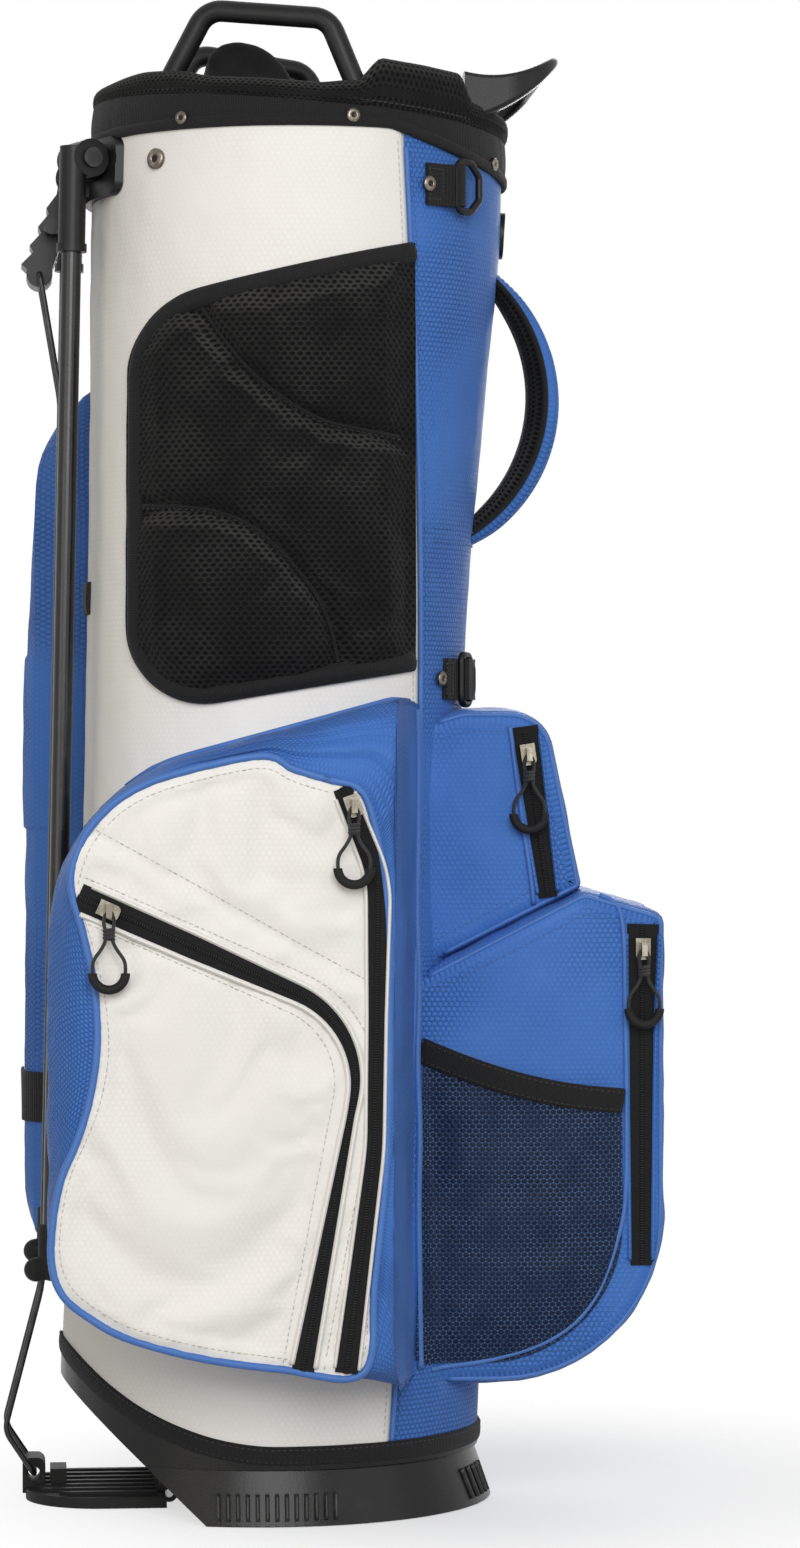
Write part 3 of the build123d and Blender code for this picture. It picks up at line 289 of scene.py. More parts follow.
def pipingFinish():
    def recipe(flat, solid):
        rib = flat.rib(0, pipingLook["rib"])
        cloud = solid.noise(18, 3)
        return {"Base Color": (rib * 0.3 + cloud * 0.5).mixed(pipingLook["lit"], pipingLook["deep"]),
                "Roughness": 0.42 + cloud * 0.25, "bump": (rib * 0.5 + cloud * 0.5, 0.2)}

    finishOf("bluePiping", recipe, Sheen_Weight=0.1)


fleeceLook = {"base": (0.006, 0.006, 0.0065), "tip": (0.022, 0.022, 0.023), "pile": 1.3}


def fleeceFinish():
    def recipe(flat, solid):
        pile = solid.noise(fleeceLook["pile"], 4, 0.7)
        brushed = solid.noise(16, 3).step(0.3, 0.7)
        tone = (pile * 0.6 + brushed * 0.3).mixed(fleeceLook["base"], fleeceLook["tip"])
        return {"Base Color": tone, "Roughness": 0.85 + pile * 0.1, "bump": (pile * 0.8 + brushed * 0.2, 0.7)}

    finishOf("fleece", recipe, "dividerFleece", Sheen_Weight=0.1, Sheen_Roughness=0.5,
             Specular_IOR_Level=0.15)


for name, look in clothLook.items():
    clothFinish(name, look)
for name in ("spacer", "rimMesh"):
    spacerMeshFinish(name)
for table, make in ((tapeLook, tapeFinish), (plasticLook, plasticFinish), (metalLook, metalFinish),
                    (threadLook, threadFinish)):
    for name, look in table.items():
        make(name, *look)
netFinish()
pipingFinish()
fleeceFinish()
print("finishes made:", len(finish))


def soft(low, high, value):
    share = np.clip((np.asarray(value, float) - low) / (high - low), 0, 1)
    return share * share * (3 - 2 * share)


def unit(vectors):
    vectors = np.asarray(vectors, float)
    return vectors / np.maximum(np.linalg.norm(vectors, axis=-1, keepdims=True), 1e-9)


def ripple(u, v, size, seed, waves=7):
    # smooth made-up unevenness between about -1 and 1, the same each run
    draw = np.random.RandomState(seed)
    total = np.zeros(np.broadcast(u, v).shape)
    for _ in range(waves):
        turn, phase = draw.uniform(0, fullTurn, 2)
        pitch = size * draw.uniform(0.7, 1.6)
        total += np.sin((u * math.cos(turn) + v * math.sin(turn)) * 2 * math.pi / pitch + phase)
    return total / math.sqrt(waves) * 0.7


def rumple(points, high, size, seed):
    return high * ripple(*points.T, size, seed)


def dent(off, deep, wide):
    # a soft groove, by the distance from its line
    return deep * np.exp(-(off / wide) ** 2)


def cubic(xs, ys):
    # a natural cubic through the given points
    xs, ys = np.array(xs, float), np.array(ys, float)
    gap, count = np.diff(xs), len(xs)
    table, right = np.eye(count), np.zeros(count)
    for i in range(1, count - 1):
        table[i, i - 1:i + 2] = gap[i - 1], 2 * (gap[i - 1] + gap[i]), gap[i]
        right[i] = 6 * ((ys[i + 1] - ys[i]) / gap[i] - (ys[i] - ys[i - 1]) / gap[i - 1])
    bend = np.linalg.solve(table, right)

    def at(x):
        x = np.asarray(x, float)
        i = np.clip(np.searchsorted(xs, x) - 1, 0, count - 2)
        before, after, h = xs[i + 1] - x, x - xs[i], gap[i]
        curve = (bend[i] * before ** 3 + bend[i + 1] * after ** 3) / (6 * h)
        return curve + (ys[i] / h - bend[i] * h / 6) * before + (ys[i + 1] / h - bend[i + 1] * h / 6) * after

    return at


def around(count):
    return np.linspace(0, fullTurn, count, endpoint=False)


def atDepth(flat, y):
    # (x, z) pairs set at a depth, one for all or one each
    return np.insert(np.asarray(flat, float), 1, y, axis=1)


def facing(count, *way):
    return np.tile(np.array(way, float), (count, 1))


def runOf(points):
    # how far along a line each of its points lies
    return np.r_[0, np.cumsum(np.linalg.norm(np.diff(points, axis=0), axis=1))]


def resample(points, gap, closed=False):
    points = np.array(points, float)
    if closed:
        points = np.vstack([points, points[:1]])
    run = runOf(points)
    count = max(2, int(round(run[-1] / gap)))
    marks = np.linspace(0, run[-1], count + 1)
    marks = marks[:-1] if closed else marks
    return np.column_stack([np.interp(marks, run, points[:, k]) for k in range(points.shape[1])])


def curveThrough(points, gap, closed=False):
    # a smooth line through the points, evenly divided
    points = np.array(points, float)
    count = len(points)
    t = np.linspace(0, 1, 17)[:-1, None]
    fine = []
    for i in range(count if closed else count - 1):
        near = (i - 1, i, i + 1, i + 2)
        a, b, c, d = (points[k % count if closed else min(max(k, 0), count - 1)] for k in near)
        fine.append(0.5 * (2 * b + (c - a) * t + (2 * a - 5 * b + 4 * c - d) * t ** 2
                           + (3 * b - a - 3 * c + d) * t ** 3))
    if not closed:
        fine.append(points[-1:])
    return resample(np.vstack(fine), gap, closed)


def roundedLoop(corners, gap):
    # corners as (x, z, radius), the way the solids give them
    points = []
    count = len(corners)
    for i, (x, z, radius) in enumerate(corners):
        here = np.array((x, z), float)
        if radius <= 0:
            points.append(here)
            continue
        back, ahead = (unit(np.array(corners[k % count][:2], float) - here) for k in (i - 1, i + 1))
        half = math.acos(np.clip(back @ ahead, -1, 1)) / 2
        middle = here + unit(back + ahead) * (radius / math.sin(half))
        first, last = (here + way * (radius / math.tan(half)) - middle for way in (back, ahead))
        start = math.atan2(first[1], first[0])
        sweep = (math.atan2(last[1], last[0]) - start + math.pi) % fullTurn - math.pi
        for turn in np.linspace(start, start + sweep, 14):
            points.append(middle + radius * np.array((math.cos(turn), math.sin(turn))))
    return resample(points, gap, True)


def inLoop(points, loop):
    x, z = points[:, :1], points[:, 1:]
    x1, z1 = loop[:, 0], loop[:, 1]
    x2, z2 = np.roll(x1, -1), np.roll(z1, -1)
    across = (z1 > z) != (z2 > z)
    rise = np.where(z2 == z1, 1e-9, z2 - z1)
    return (across & (x < (x2 - x1) * (z - z1) / rise + x1)).sum(1) % 2 == 1


def lineGap(points, line, closed=False):
    # distance from each point to a line of points
    ends = np.roll(line, -1, 0) if closed else line[1:]
    starts = line if closed else line[:-1]
    run = ends - starts
    share = ((points[:, None] - starts) * run).sum(2) / np.maximum((run ** 2).sum(1), 1e-9)
    foot = starts + run * np.clip(share, 0, 1)[..., None]
    return np.linalg.norm(points[:, None] - foot, axis=2).min(1)


def cutPatch(loop, gap):
    # triangles that fill a flat outline, whose own points come first, and each point's distance from it
    low, high = loop.min(0), loop.max(0)
    rows = np.arange(low[1] + gap / 2, high[1], gap * 0.866)
    columns = np.arange(low[0], high[0], gap)
    grid = np.array([(x + (k % 2) * gap / 2, z) for k, z in enumerate(rows) for x in columns])
    grid = grid[inLoop(grid, loop)]
    grid = grid[lineGap(grid, loop, True) > gap * 0.6]
    points = np.vstack([loop, grid])
    made = delaunay_2d_cdt([Vector(p) for p in points], [], [list(range(len(loop)))], 1, 1e-5)
    points = np.array([v[:] for v in made[0]])
    return points, [list(f) for f in made[2]], lineGap(points, loop, True)


def flipped(faces):
    return [f[::-1] for f in faces]


def shown(name, data):
    thing = bpy.data.objects.new(name, data)
    scene.collection.objects.link(thing)
    return thing


class Heap:
    # gathers several shapes into one piece
    def __init__(self):
        self.verts, self.faces, self.flat, self.count = [], [], [], 0

    def take(self, verts, faces, flat=None):
        verts = np.asarray(verts, float)
        self.verts.append(verts)
        self.faces += [[i + self.count for i in f] for f in faces]
        self.flat.append(np.asarray(flat, float) if flat is not None else verts[:, [0, 2]])
        self.count += len(verts)

    def piece(self, name, look, slot, body="bag", stands=(), crisp=None):
        mesh = bpy.data.meshes.new(name)
        mesh.from_pydata((np.vstack(self.verts) * mm).tolist(), [], self.faces)
        flat = np.vstack(self.flat) * mm
        corners = np.zeros(len(mesh.loops), int)
        mesh.loops.foreach_get("vertex_index", corners)
        mesh.uv_layers.new(name="flat").data.foreach_set("uv", flat[corners].ravel().astype(np.float32))
        mesh.shade_smooth()
        if crisp:
            mesh.set_sharp_from_angle(angle=math.radians(crisp))
        thing = shown(name, mesh)
        mesh.materials.append(finish[look])
        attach(thing, body)
        if stands:
            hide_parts(*stands)
        return thing


def pieceOf(shape, *words, **more):
    # a piece made of one shape
    heap = Heap()
    heap.take(*shape)
    return heap.piece(*words, **more)


def gridFaces(rows, columns, closed=False):
    faces = []
    for i in range(rows - 1):
        for j in range(columns if closed else columns - 1):
            k = (j + 1) % columns
            faces.append((i * columns + j, i * columns + k, (i + 1) * columns + k, (i + 1) * columns + j))
    return faces


def sweepShape(points, ups, profile, closed=False, sizes=None):
    # carries a profile of (across, up) pairs along a line; ups lean towards the viewer's side of it
    points, ups = np.asarray(points, float), np.asarray(ups, float)
    if closed:
        along = unit(np.roll(points, -1, 0) - np.roll(points, 1, 0))
    else:
        along = unit(np.gradient(points, axis=0))
    across = unit(np.cross(along, ups))
    ups = np.cross(across, along)
    profile = np.asarray(profile, float)
    sizes = np.ones(len(points)) if sizes is None else np.asarray(sizes, float)
    shape = points[:, None] + sizes[:, None, None] * (
        across[:, None] * profile[None, :, :1] + ups[:, None] * profile[None, :, 1:])
    lay = np.broadcast_arrays(runOf(points)[:, None], runOf(profile)[None, :])
    many, sides = len(points), len(profile)
    faces = gridFaces(many, sides, True)
    if closed:
        last = (many - 1) * sides
        faces += [(last + j, last + (j + 1) % sides, (j + 1) % sides, j) for j in range(sides)]
    else:
        faces += [list(range(sides))[::-1], list(range((many - 1) * sides, many * sides))]
    return shape.reshape(-1, 3), faces, np.stack(lay, 2).reshape(-1, 2)


def roundProfile(radius, sides=10):
    turn = around(sides)
    return np.column_stack([np.cos(turn), np.sin(turn)]) * radius


def tapeProfile(width, thick, crown=0.0, sink=0.4):
    # a flat band with rolled edges; its underside is sunk a little into what it lies on
    half, roll = width / 2, min(thick / 2, width / 4)
    top = [(half, thick * 0.45), (half - roll * 0.4, thick * 0.85), (half - roll, thick)]
    top += [(half / 2, thick + crown * 0.75), (0, thick + crown)]
    left = [(-x, y) for x, y in top[::-1][1:]]
    return np.array(top + left + [(-half, -sink), (half, -sink)])


# pitch, length, width and height of the stitches in mm; the zips' teeth are made as stitches too
stitchLook = {"seam": (4.2, 3.0, 0.8, 0.45), "pocket": (3.9, 2.9, 0.75, 0.4), "trim": (3.6, 2.6, 0.7, 0.4),
              "rim": (3.8, 2.7, 0.8, 0.5), "hip": (4.0, 2.8, 0.8, 0.4), "channel": (4.0, 2.9, 0.8, 0.5),
              "tab": (2.6, 2.0, 0.7, 0.4), "teeth": (1.5, 3.8, 1.2, 0.8)}
stitchForm = {"rings": ((-0.72, 0.72), (0.0, 1.0), (0.72, 0.72)), "sides": 6}


def stitchRow(points, ups, kind, across=False):
    # little raised stitches along a line, or across it
    pitch, length, width, high = stitchLook[kind]
    both = resample(np.hstack([points, ups]), pitch)
    points, ups = both[:, :3], unit(both[:, 3:])
    along = unit(np.gradient(points, axis=0))
    side = unit(np.cross(along, ups))
    if across:
        along, side = side, along
    rings, sides = stitchForm["rings"], stitchForm["sides"]
    form = [(a, math.cos(t) * r, math.sin(t) * r) for a, r in rings for t in around(sides)]
    form = np.array([(-1, 0, 0)] + form + [(1, 0, 0)]) * (length / 2, width / 2, high)
    count = len(form)
    last = count - 1 - sides
    skin = [(0, 1 + (j + 1) % sides, 1 + j) for j in range(sides)]
    skin += [[1 + i for i in f] for f in gridFaces(len(rings), sides, True)]
    skin += [(last + j, last + (j + 1) % sides, count - 1) for j in range(sides)]
    verts = points[:, None]
    for axis, way in enumerate((along, side, ups)):
        verts = verts + form[None, :, axis:axis + 1] * way[:, None]
    faces = [[i + k * count for i in f] for k in range(len(points)) for f in skin]
    return verts.reshape(-1, 3), faces, np.tile(form[:, :2], (len(points), 1))


def treeOf(thing):
    # a piece's present shape in mm, for laying trims on
    mesh = thing.data
    return BVHTree.FromPolygons([v.co / mm for v in mesh.vertices], [list(f.vertices) for f in mesh.polygons])


def layOn(tree, line, aim=(0, 1, 0), lift=0.0, smooth=2):
    # drops a line of points along aim on to a shape; points that miss keep their last depth
    aim = Vector(aim)
    places, ups = [], []
    for point in line:
        spot, up, _, _ = tree.ray_cast(Vector(point) - aim * 500, aim)
        if spot is None:
            spot = places[-1] if places else Vector(point)
            up = ups[-1] if ups else -aim
        if up.dot(aim) > 0:
            up = -up
        places.append(spot)
        ups.append(up)
    places, ups = np.array([p[:] for p in places]), np.array([u[:] for u in ups])
    for _ in range(smooth):
        padded = np.vstack([ups[:1], ups, ups[-1:]])
        ups = unit(padded[:-2] + padded[1:-1] * 2 + padded[2:])
        padded = np.vstack([places[:1], places, places[-1:]])
        places[1:-1] = (padded[1:-3] + padded[2:-2] * 2 + padded[3:-1])[:len(places) - 2] / 4
    return places + ups * lift, ups


settleLook = {"quality": 6, "mass": 0.25, "tension_stiffness": 25, "compression_stiffness": 25,
              "shear_stiffness": 8, "bending_stiffness": 0.8, "air_damping": 3, "use_pressure": True}


def settle(thing, pins, look):
    # lets the cloth fill out and sag between its sewn lines, then keeps that shape
    held = thing.vertex_groups.new(name="held")
    held.add(np.where(pins)[0].tolist(), 1.0, "REPLACE")
    cloth = thing.modifiers.new("settle", "CLOTH")
    how = cloth.settings
    for key, value in settleLook.items():
        setattr(how, key, value)
    how.uniform_pressure_force = look["pressure"]
    how.shrink_min = -look["spare"]
    how.vertex_group_mass = "held"
    how.effector_weights.gravity = look["gravity"]
    cloth.collision_settings.use_collision = False
    rest = np.array([v.co for v in thing.data.vertices])
    for span in (scene, cloth.point_cache):
        span.frame_start, span.frame_end = 1, look["frames"]
    for number in range(1, look["frames"] + 1):
        scene.frame_set(number)
    shape = thing.evaluated_get(bpy.context.evaluated_depsgraph_get()).to_mesh()
    moved = np.array([v.co for v in shape.vertices]) - rest
    length = np.linalg.norm(moved, axis=1, keepdims=True)
    cap = look["cap"] * mm
    moved *= np.where(length > 1e-9, cap * np.tanh(length / cap) / np.maximum(length, 1e-9), 0)
    thing.modifiers.remove(cloth)
    thing.vertex_groups.remove(held)
    reshape(thing, rest + moved)
    scene.frame_set(1)
    print("settled", thing.name, "by up to", round(float(length.max()) * 1000, 1), "mm")


def reshape(thing, verts):
    thing.data.vertices.foreach_set("co", verts.astype(np.float32).ravel())
    thing.data.update()


# the tube's back, front and half depth at a few heights, as the solids have them
tubeForm = {"z": (0, 60, 220, 380, 540, 700, 780, 868),
            "back": (-129.5, -128.9, -123.2, -116.8, -113.0, -111.5, -110.3, -107.4),
            "front": (124.5, 129.1, 125.0, 118.0, 121.8, 135.8, 142.3, 144.2),
            "half": (119.0, 120.5, 116.3, 110.4, 110.3, 115.4, 117.6, 118.0)}
tubeBack, tubeFront, tubeHalf = (cubic(tubeForm["z"], tubeForm[key]) for key in ("back", "front", "half"))
seamX = cubic((0, 521, 868), (63, 86, 72))
edgeForm = {"boot": 35, "arch": 178.0, "band": 832, "bandFrom": 66, "bandSlope": 16.5}


def tubeSpan(z, grow=0.0):
    # the tube's middle and half width at this height
    return (tubeBack(z) + tubeFront(z)) / 2, (tubeFront(z) - tubeBack(z)) / 2 + grow


def tubePlace(x, z, side=-1, grow=0.0):
    # the point of the tube's surface at this X and Z, with its outward direction
    x, z = np.broadcast_arrays(np.asarray(x, float), np.asarray(z, float))
    middle, wide = tubeSpan(z, grow)
    deep = tubeHalf(z) + grow
    share = np.clip((x - middle) / wide, -0.9995, 0.9995)
    y = side * deep * np.sqrt(1 - share ** 2)
    out = unit(np.stack([share / wide, y / deep ** 2, np.zeros_like(y)], -1))
    return np.stack([x, y, z], -1), out


def outOfTube(verts, grow=-1.2):
    # points inside the tube move out to just under its skin
    z = verts[:, 2]
    middle, wide = tubeSpan(z, grow)
    deep = tubeHalf(z) + grow
    share = np.hypot((verts[:, 0] - middle) / wide, verts[:, 1] / deep)
    fix = np.where(share < 1, 1 / np.maximum(share, 0.05), 1)
    return np.column_stack([middle + (verts[:, 0] - middle) * fix, verts[:, 1] * fix, z])


def ovalUps(turn, wide, deep):
    return unit(np.column_stack([np.cos(turn) / wide, np.sin(turn) / deep, 0 * turn]))


def bootEdge(x):
    back, arch = np.minimum(np.asarray(x, float), 0), edgeForm["arch"]
    return edgeForm["boot"] + arch - np.sqrt(arch ** 2 - back ** 2)


def bandEdge(x):
    past = np.maximum(np.asarray(x, float) - edgeForm["bandFrom"], 0)
    return edgeForm["band"] - past * math.tan(math.radians(edgeForm["bandSlope"]))


print("tools ready")

cadLook = {
    "mouldedBlack": ("collar", "stand_bracket", "yoke", "leg_head_near", "leg_head_far", "front_badge",
                     "d_ring_top", "d_ring_mid"),
    "bootBlack": ("base_boot",),
    "rubberBlack": ("pedal", "leg_foot_near", "leg_foot_far", "pull_grip_main", "pull_grip_side",
                    "pull_grip_accessory", "pull_grip_ball"),
    "legBlack": ("leg_tube_near", "leg_tube_far"),
    "wireBlack": ("actuator_wire", "leg_pins"),
    "steel": ("yoke_pin", "pedal_pin"),
    "antique": ("rivets",),
    "nickel": ("zip_slider_main", "zip_slider_side", "zip_slider_accessory", "zip_slider_ball"),
    "stayGrey": ("support_stays",),
}
for look, names in cadLook.items():
    for name in names:
        nodes[name].data.materials.clear()
        nodes[name].data.materials.append(finish[look])
print("rigid pieces painted")

gripLook = {"first": -38.0, "pitch": 5.8, "onNode": 10, "count": 13, "side": (3.5, 18.5), "toe": (4.0, 22.0),
            "front": (28.0, 36.0, 44.0, 52.0, 60.0), "wide": 2.5, "proud": 1.0, "alone": 2.2, "toeProud": 1.6}


def gripRibs():
    # rounded bars over the boot's grip ribs, with a few more towards the front
    tree = treeOf(nodes["base_boot"])
    heap = Heap()

    def bar(x, y, span, aim, proud):
        places, ups = layOn(tree, [(x, y, z) for z in np.linspace(*span, 8)], aim)
        heap.take(*sweepShape(places, ups, tapeProfile(gripLook["wide"], proud, 0.4)))

    for side in (-1, 1):
        for index in range(gripLook["count"]):
            proud = gripLook["proud" if index < gripLook["onNode"] else "alone"]
            bar(gripLook["first"] + index * gripLook["pitch"], 0, gripLook["side"], (0, -side, 0), proud)
        for y in gripLook["front"]:
            bar(0, side * y, gripLook["toe"], (-1, 0, 0), gripLook["toeProud"])
    # the bars take the lightened black, a painted highlight
    heap.piece("bootGripRibs", "ribBlack", "moulded_black")


gripRibs()

capLook = {"dome": ((1.0, -0.1), (0.97, 0.25), (0.8, 0.7), (0.55, 0.85), (0.4, 0.6), (0.34, 0.1)),
           "eye": ((0.36, 0.3), (0.2, 0.16), (0.02, 0.12)), "sides": 20, "apart": 14.0}


def rivetCaps():
    # a domed rim and a dark eye on every rivet
    mesh = nodes["rivets"].data
    groups = []
    for face in mesh.polygons:
        middle = np.array(face.center) / mm
        near = [g for g in groups if np.linalg.norm(g["at"] - middle) < capLook["apart"]]
        if not near:
            near = [{"at": middle, "faces": []}]
            groups += near
        near[0]["faces"].append(face)
    turn = around(capLook["sides"])
    dome, eye = Heap(), Heap()
    for group in groups:
        out = unit((group["at"][0], group["at"][1], 0.0))
        outer = [f for f in group["faces"] if np.dot(f.normal, out) > 0.8]
        axis = unit(sum(np.array(f.normal) * f.area for f in outer))
        spots = np.array([mesh.vertices[i].co for f in group["faces"] for i in f.vertices]) / mm
        middle = (spots.min(0) + spots.max(0)) / 2
        middle = middle + axis * ((spots - middle) @ axis).max()
        side = unit(np.cross(axis, (0, 0, 1.0)))
        over = np.cross(side, axis)
        reach = np.abs((spots - middle) @ over).max()
        ring = np.cos(turn)[:, None] * side + np.sin(turn)[:, None] * over
        for heap, profile in ((dome, capLook["dome"]), (eye, capLook["eye"])):
            rows = [middle + axis * up + reach * wide * ring for wide, up in profile]
            heap.take(np.vstack(rows), gridFaces(len(rows), len(turn), True))
    dome.piece("rivetCaps", "antique", "nickel")
    eye.piece("rivetEyes", "mouldedBlack", "moulded_black")


rivetCaps()

restLook = {"height": 553.0, "tall": 20.0, "thick": 2.4, "crown": 0.6, "half": 17.0, "count": 25}


def legRest():
    # a short bumper on the tube's back, where the folded legs lie
    z, count = restLook["height"], restLook["count"]
    wide, deep = tubeSpan(z)[1], tubeHalf(z)
    turn = np.linspace(-1, 1, count) * math.asin(restLook["half"] / deep)
    x = tubeBack(z) + wide * (1 - np.cos(turn))
    places = np.column_stack([x, deep * np.sin(turn), np.full(count, z)])
    ups = unit(np.column_stack([-np.cos(turn) / wide, np.sin(turn) / deep, 0 * turn]))
    profile = tapeProfile(restLook["tall"], restLook["thick"], restLook["crown"], 1.0)
    pieceOf(sweepShape(places, ups, profile), "legRest", "rubberBlack", "rubber",
            stands=("leg_rest",), crisp=40)


legRest()
print("grip ribs, rivets and leg rest dressed")

# creases as (height, size), dips as (depth, width)
tubeLook = {"crease": (0.55, 70), "fine": (0.18, 24), "gather": (0.4, 40), "gatherFrom": (700, 800),
            "calm": 18, "dip": (1.0, 2.2), "crossSeam": 590.0, "crossDip": (0.8, 1.8), "under": 3.0,
            "thick": 2.2, "rows": 196, "columns": (46, 70), "girth": 118, "trim": 10.6}


def tubePanel(name, look, slot, node, side):
    # side -1 or 1 is a white panel from the seam to the middle of the back; 0 is the front panel
    rows, columns, girth = tubeLook["rows"], tubeLook["columns"][abs(side)], tubeLook["girth"]
    s, t = np.meshgrid(np.linspace(0, 1, rows), np.linspace(0, 1, columns), indexing="ij")
    z = 60 + 750 * s  # a first guess, made true below
    for _ in range(6):
        middle, wide = tubeSpan(z)
        seam = np.arccos((seamX(z) - middle) / wide)
        turn = (2 * t - 1) * seam if side == 0 else seam + (math.pi - seam) * t
        x = middle + wide * np.cos(turn)
        low, high = bootEdge(x) + tubeLook["trim"] - tubeLook["under"], bandEdge(x) + tubeLook["under"]
        z = low + (high - low) * s
    y = tubeHalf(z) * np.sin(turn) * (side or 1)
    arc = turn * girth
    edge = (seam - np.abs(turn)) * girth if side == 0 else (turn - seam) * girth
    (crease, large), (fine, small), (gather, fold) = (tubeLook[key] for key in ("crease", "fine", "gather"))
    puff = crease * ripple(arc, z * 0.6, large, 3 + side) + fine * ripple(arc, z, small, 8 + side)
    puff += gather * ripple(arc * 0.3, z, fold, 12 + side) * soft(*tubeLook["gatherFrom"], z)
    puff *= soft(0, tubeLook["calm"], edge)
    puff -= dent(edge, *tubeLook["dip"])
    if side == 0:
        puff -= dent(z - tubeLook["crossSeam"], *tubeLook["crossDip"])
    out = unit(np.stack([np.cos(turn) / wide, y / tubeHalf(z) ** 2, np.zeros_like(z)], -1))
    verts = (np.stack([x, y, z], -1) + out * puff[..., None]).reshape(-1, 3)
    faces = gridFaces(rows, columns)
    a, b, c = (verts[i] for i in faces[0][:3])
    if np.cross(b - a, c - a) @ out.reshape(-1, 3)[0] < 0:
        faces = flipped(faces)
    panel = pieceOf((verts, faces, np.stack([arc, z], -1).reshape(-1, 2)), name, look, slot, stands=(node,))
    panel.data.materials.append(finish["binding"])  # the lining inside
    wall = panel.modifiers.new("wall", "SOLIDIFY")
    wall.thickness = tubeLook["thick"] * mm
    wall.offset = -1
    wall.material_offset = 1


tubePanel("sidePanelNear", "white", "white_cloth", "side_panel_near", -1)
tubePanel("sidePanelFar", "white", "white_cloth", "side_panel_far", 1)
tubePanel("frontPanel", "blue", "blue_cloth", "front_panel", 0)

seamLook = {"in": 4.5, "cross": 4, "arc": 0.72, "count": 60, "lift": 0.2, "rows": (52, 822, 260),
            "piping": 1.5, "pipeIn": 0.6, "pipes": (46, 820, 300)}


def seamStitches():
    look = seamLook
    blue, white, piping = Heap(), Heap(), Heap()
    z, pipe = (np.linspace(*look[key]) for key in ("rows", "pipes"))
    for side in (-1, 1):
        for heap, shift in ((blue, look["in"]), (white, -look["in"])):
            spots = tubePlace(seamX(z) + shift, np.minimum(z, bandEdge(seamX(z)) - 2), side, look["lift"])
            heap.take(*stitchRow(*spots, "seam"))
        spots = tubePlace(seamX(pipe) + look["pipeIn"], np.minimum(pipe, bandEdge(seamX(pipe)) + 1), side)
        piping.take(*sweepShape(*spots, roundProfile(look["piping"], 8)))
    turn = np.linspace(-look["arc"], look["arc"], look["count"])
    for shift in (-look["cross"], look["cross"]):
        level = tubeLook["crossSeam"] + shift
        (middle, wide), deep = tubeSpan(level), tubeHalf(level)
        x, y = middle + (wide + look["lift"]) * np.cos(turn), (deep + look["lift"]) * np.sin(turn)
        line = np.column_stack([x, y, np.full(look["count"], level)])
        blue.take(*stitchRow(line, ovalUps(turn, wide, deep), "seam"))
    piping.piece("seamPiping", "bluePiping", "blue_cloth")
    blue.piece("seamStitchBlue", "blueThread", "blue_cloth")
    white.piece("seamStitchWhite", "whiteThread", "white_cloth")


seamStitches()
print("tube sewn")

trimLook = {"width": 11.2, "thick": 2.1, "crown": 0.5, "lift": 5.3, "row": 3.6}


def ovalLine(level, count=220, grow=0.0):
    # a closed line round the tube whose height follows level(x)
    turn = around(count)
    z = np.full(count, 400.0)
    for _ in range(8):
        middle, wide = tubeSpan(z, grow)
        x = middle + wide * np.cos(turn)
        z = level(x)
    deep = tubeHalf(z) + grow
    return np.column_stack([x, deep * np.sin(turn), z]), ovalUps(turn, wide, deep)


def baseTrim():
    lines = ovalLine(lambda x: bootEdge(x) + trimLook["lift"])
    profile = tapeProfile(trimLook["width"], trimLook["thick"], trimLook["crown"], 1.0)
    pieceOf(sweepShape(*lines, profile, True), "baseTrim", "binding", "black_cloth", stands=("base_trim",))
    rows = Heap()
    for shift in (-trimLook["row"], trimLook["row"]):
        lines = ovalLine(lambda x: bootEdge(x) + trimLook["lift"] + shift, 400, trimLook["thick"])
        rows.take(*stitchRow(*lines, "trim"))
    rows.piece("baseTrimStitch", "blackThread", "black_cloth")


baseTrim()

rimForm = {"middle": 18.4, "level": 843.6, "tilt": math.radians(4.6), "wide": 119.3, "deep": 111.5}
bandLook = {"proud": 2.0, "rows": 9, "over": 2, "edgeUp": 1.5, "edgeOut": 1.2, "edge": (6.5, 2.0, 0.4, 1.2)}


def rimLevel(x):
    return rimForm["level"] - (np.asarray(x, float) - rimForm["middle"]) * math.tan(rimForm["tilt"])


def collarBand():
    rows = []
    for share in np.linspace(0, 1, bandLook["rows"]):
        line, ups = ovalLine(lambda x: bandEdge(x) + (rimLevel(x) + bandLook["over"] - bandEdge(x)) * share)
        bulge = bandLook["proud"] * (0.75 + 0.5 * math.sin(share * math.pi))
        bulge = bulge + 0.25 * ripple(line[:, 0] * 2, line[:, 1] * 2, 26, 5)
        rows.append(line + ups * bulge[:, None])
    count = len(rows[0])
    turn = np.arange(count) * 3.5
    flat = np.concatenate([np.column_stack([turn, row[:, 2]]) for row in rows])
    pieceOf((np.vstack(rows), gridFaces(len(rows), count, True), flat), "collarBand", "binding",
            "black_cloth", stands=("collar_band",))
    line, ups = ovalLine(lambda x: bandEdge(x) + bandLook["edgeUp"])
    pieceOf(sweepShape(line + ups * bandLook["edgeOut"], ups, tapeProfile(*bandLook["edge"]), True),
            "collarBandEdge", "binding", "black_cloth")


collarBand()

padLook = {"half": (9.7, 9.3), "rise": 7.9, "wrinkle": 0.35, "sleeve": 15.0, "from": (44, 60),
           "to": (108, 120), "dip": 3.8, "dipFrom": (-64, -38), "dipTo": (20, 46), "back": 4.0,
           "backFrom": (-78, -104), "count": 240, "tall": 17, "stitchOut": 9.0, "stitchUp": -3.0}


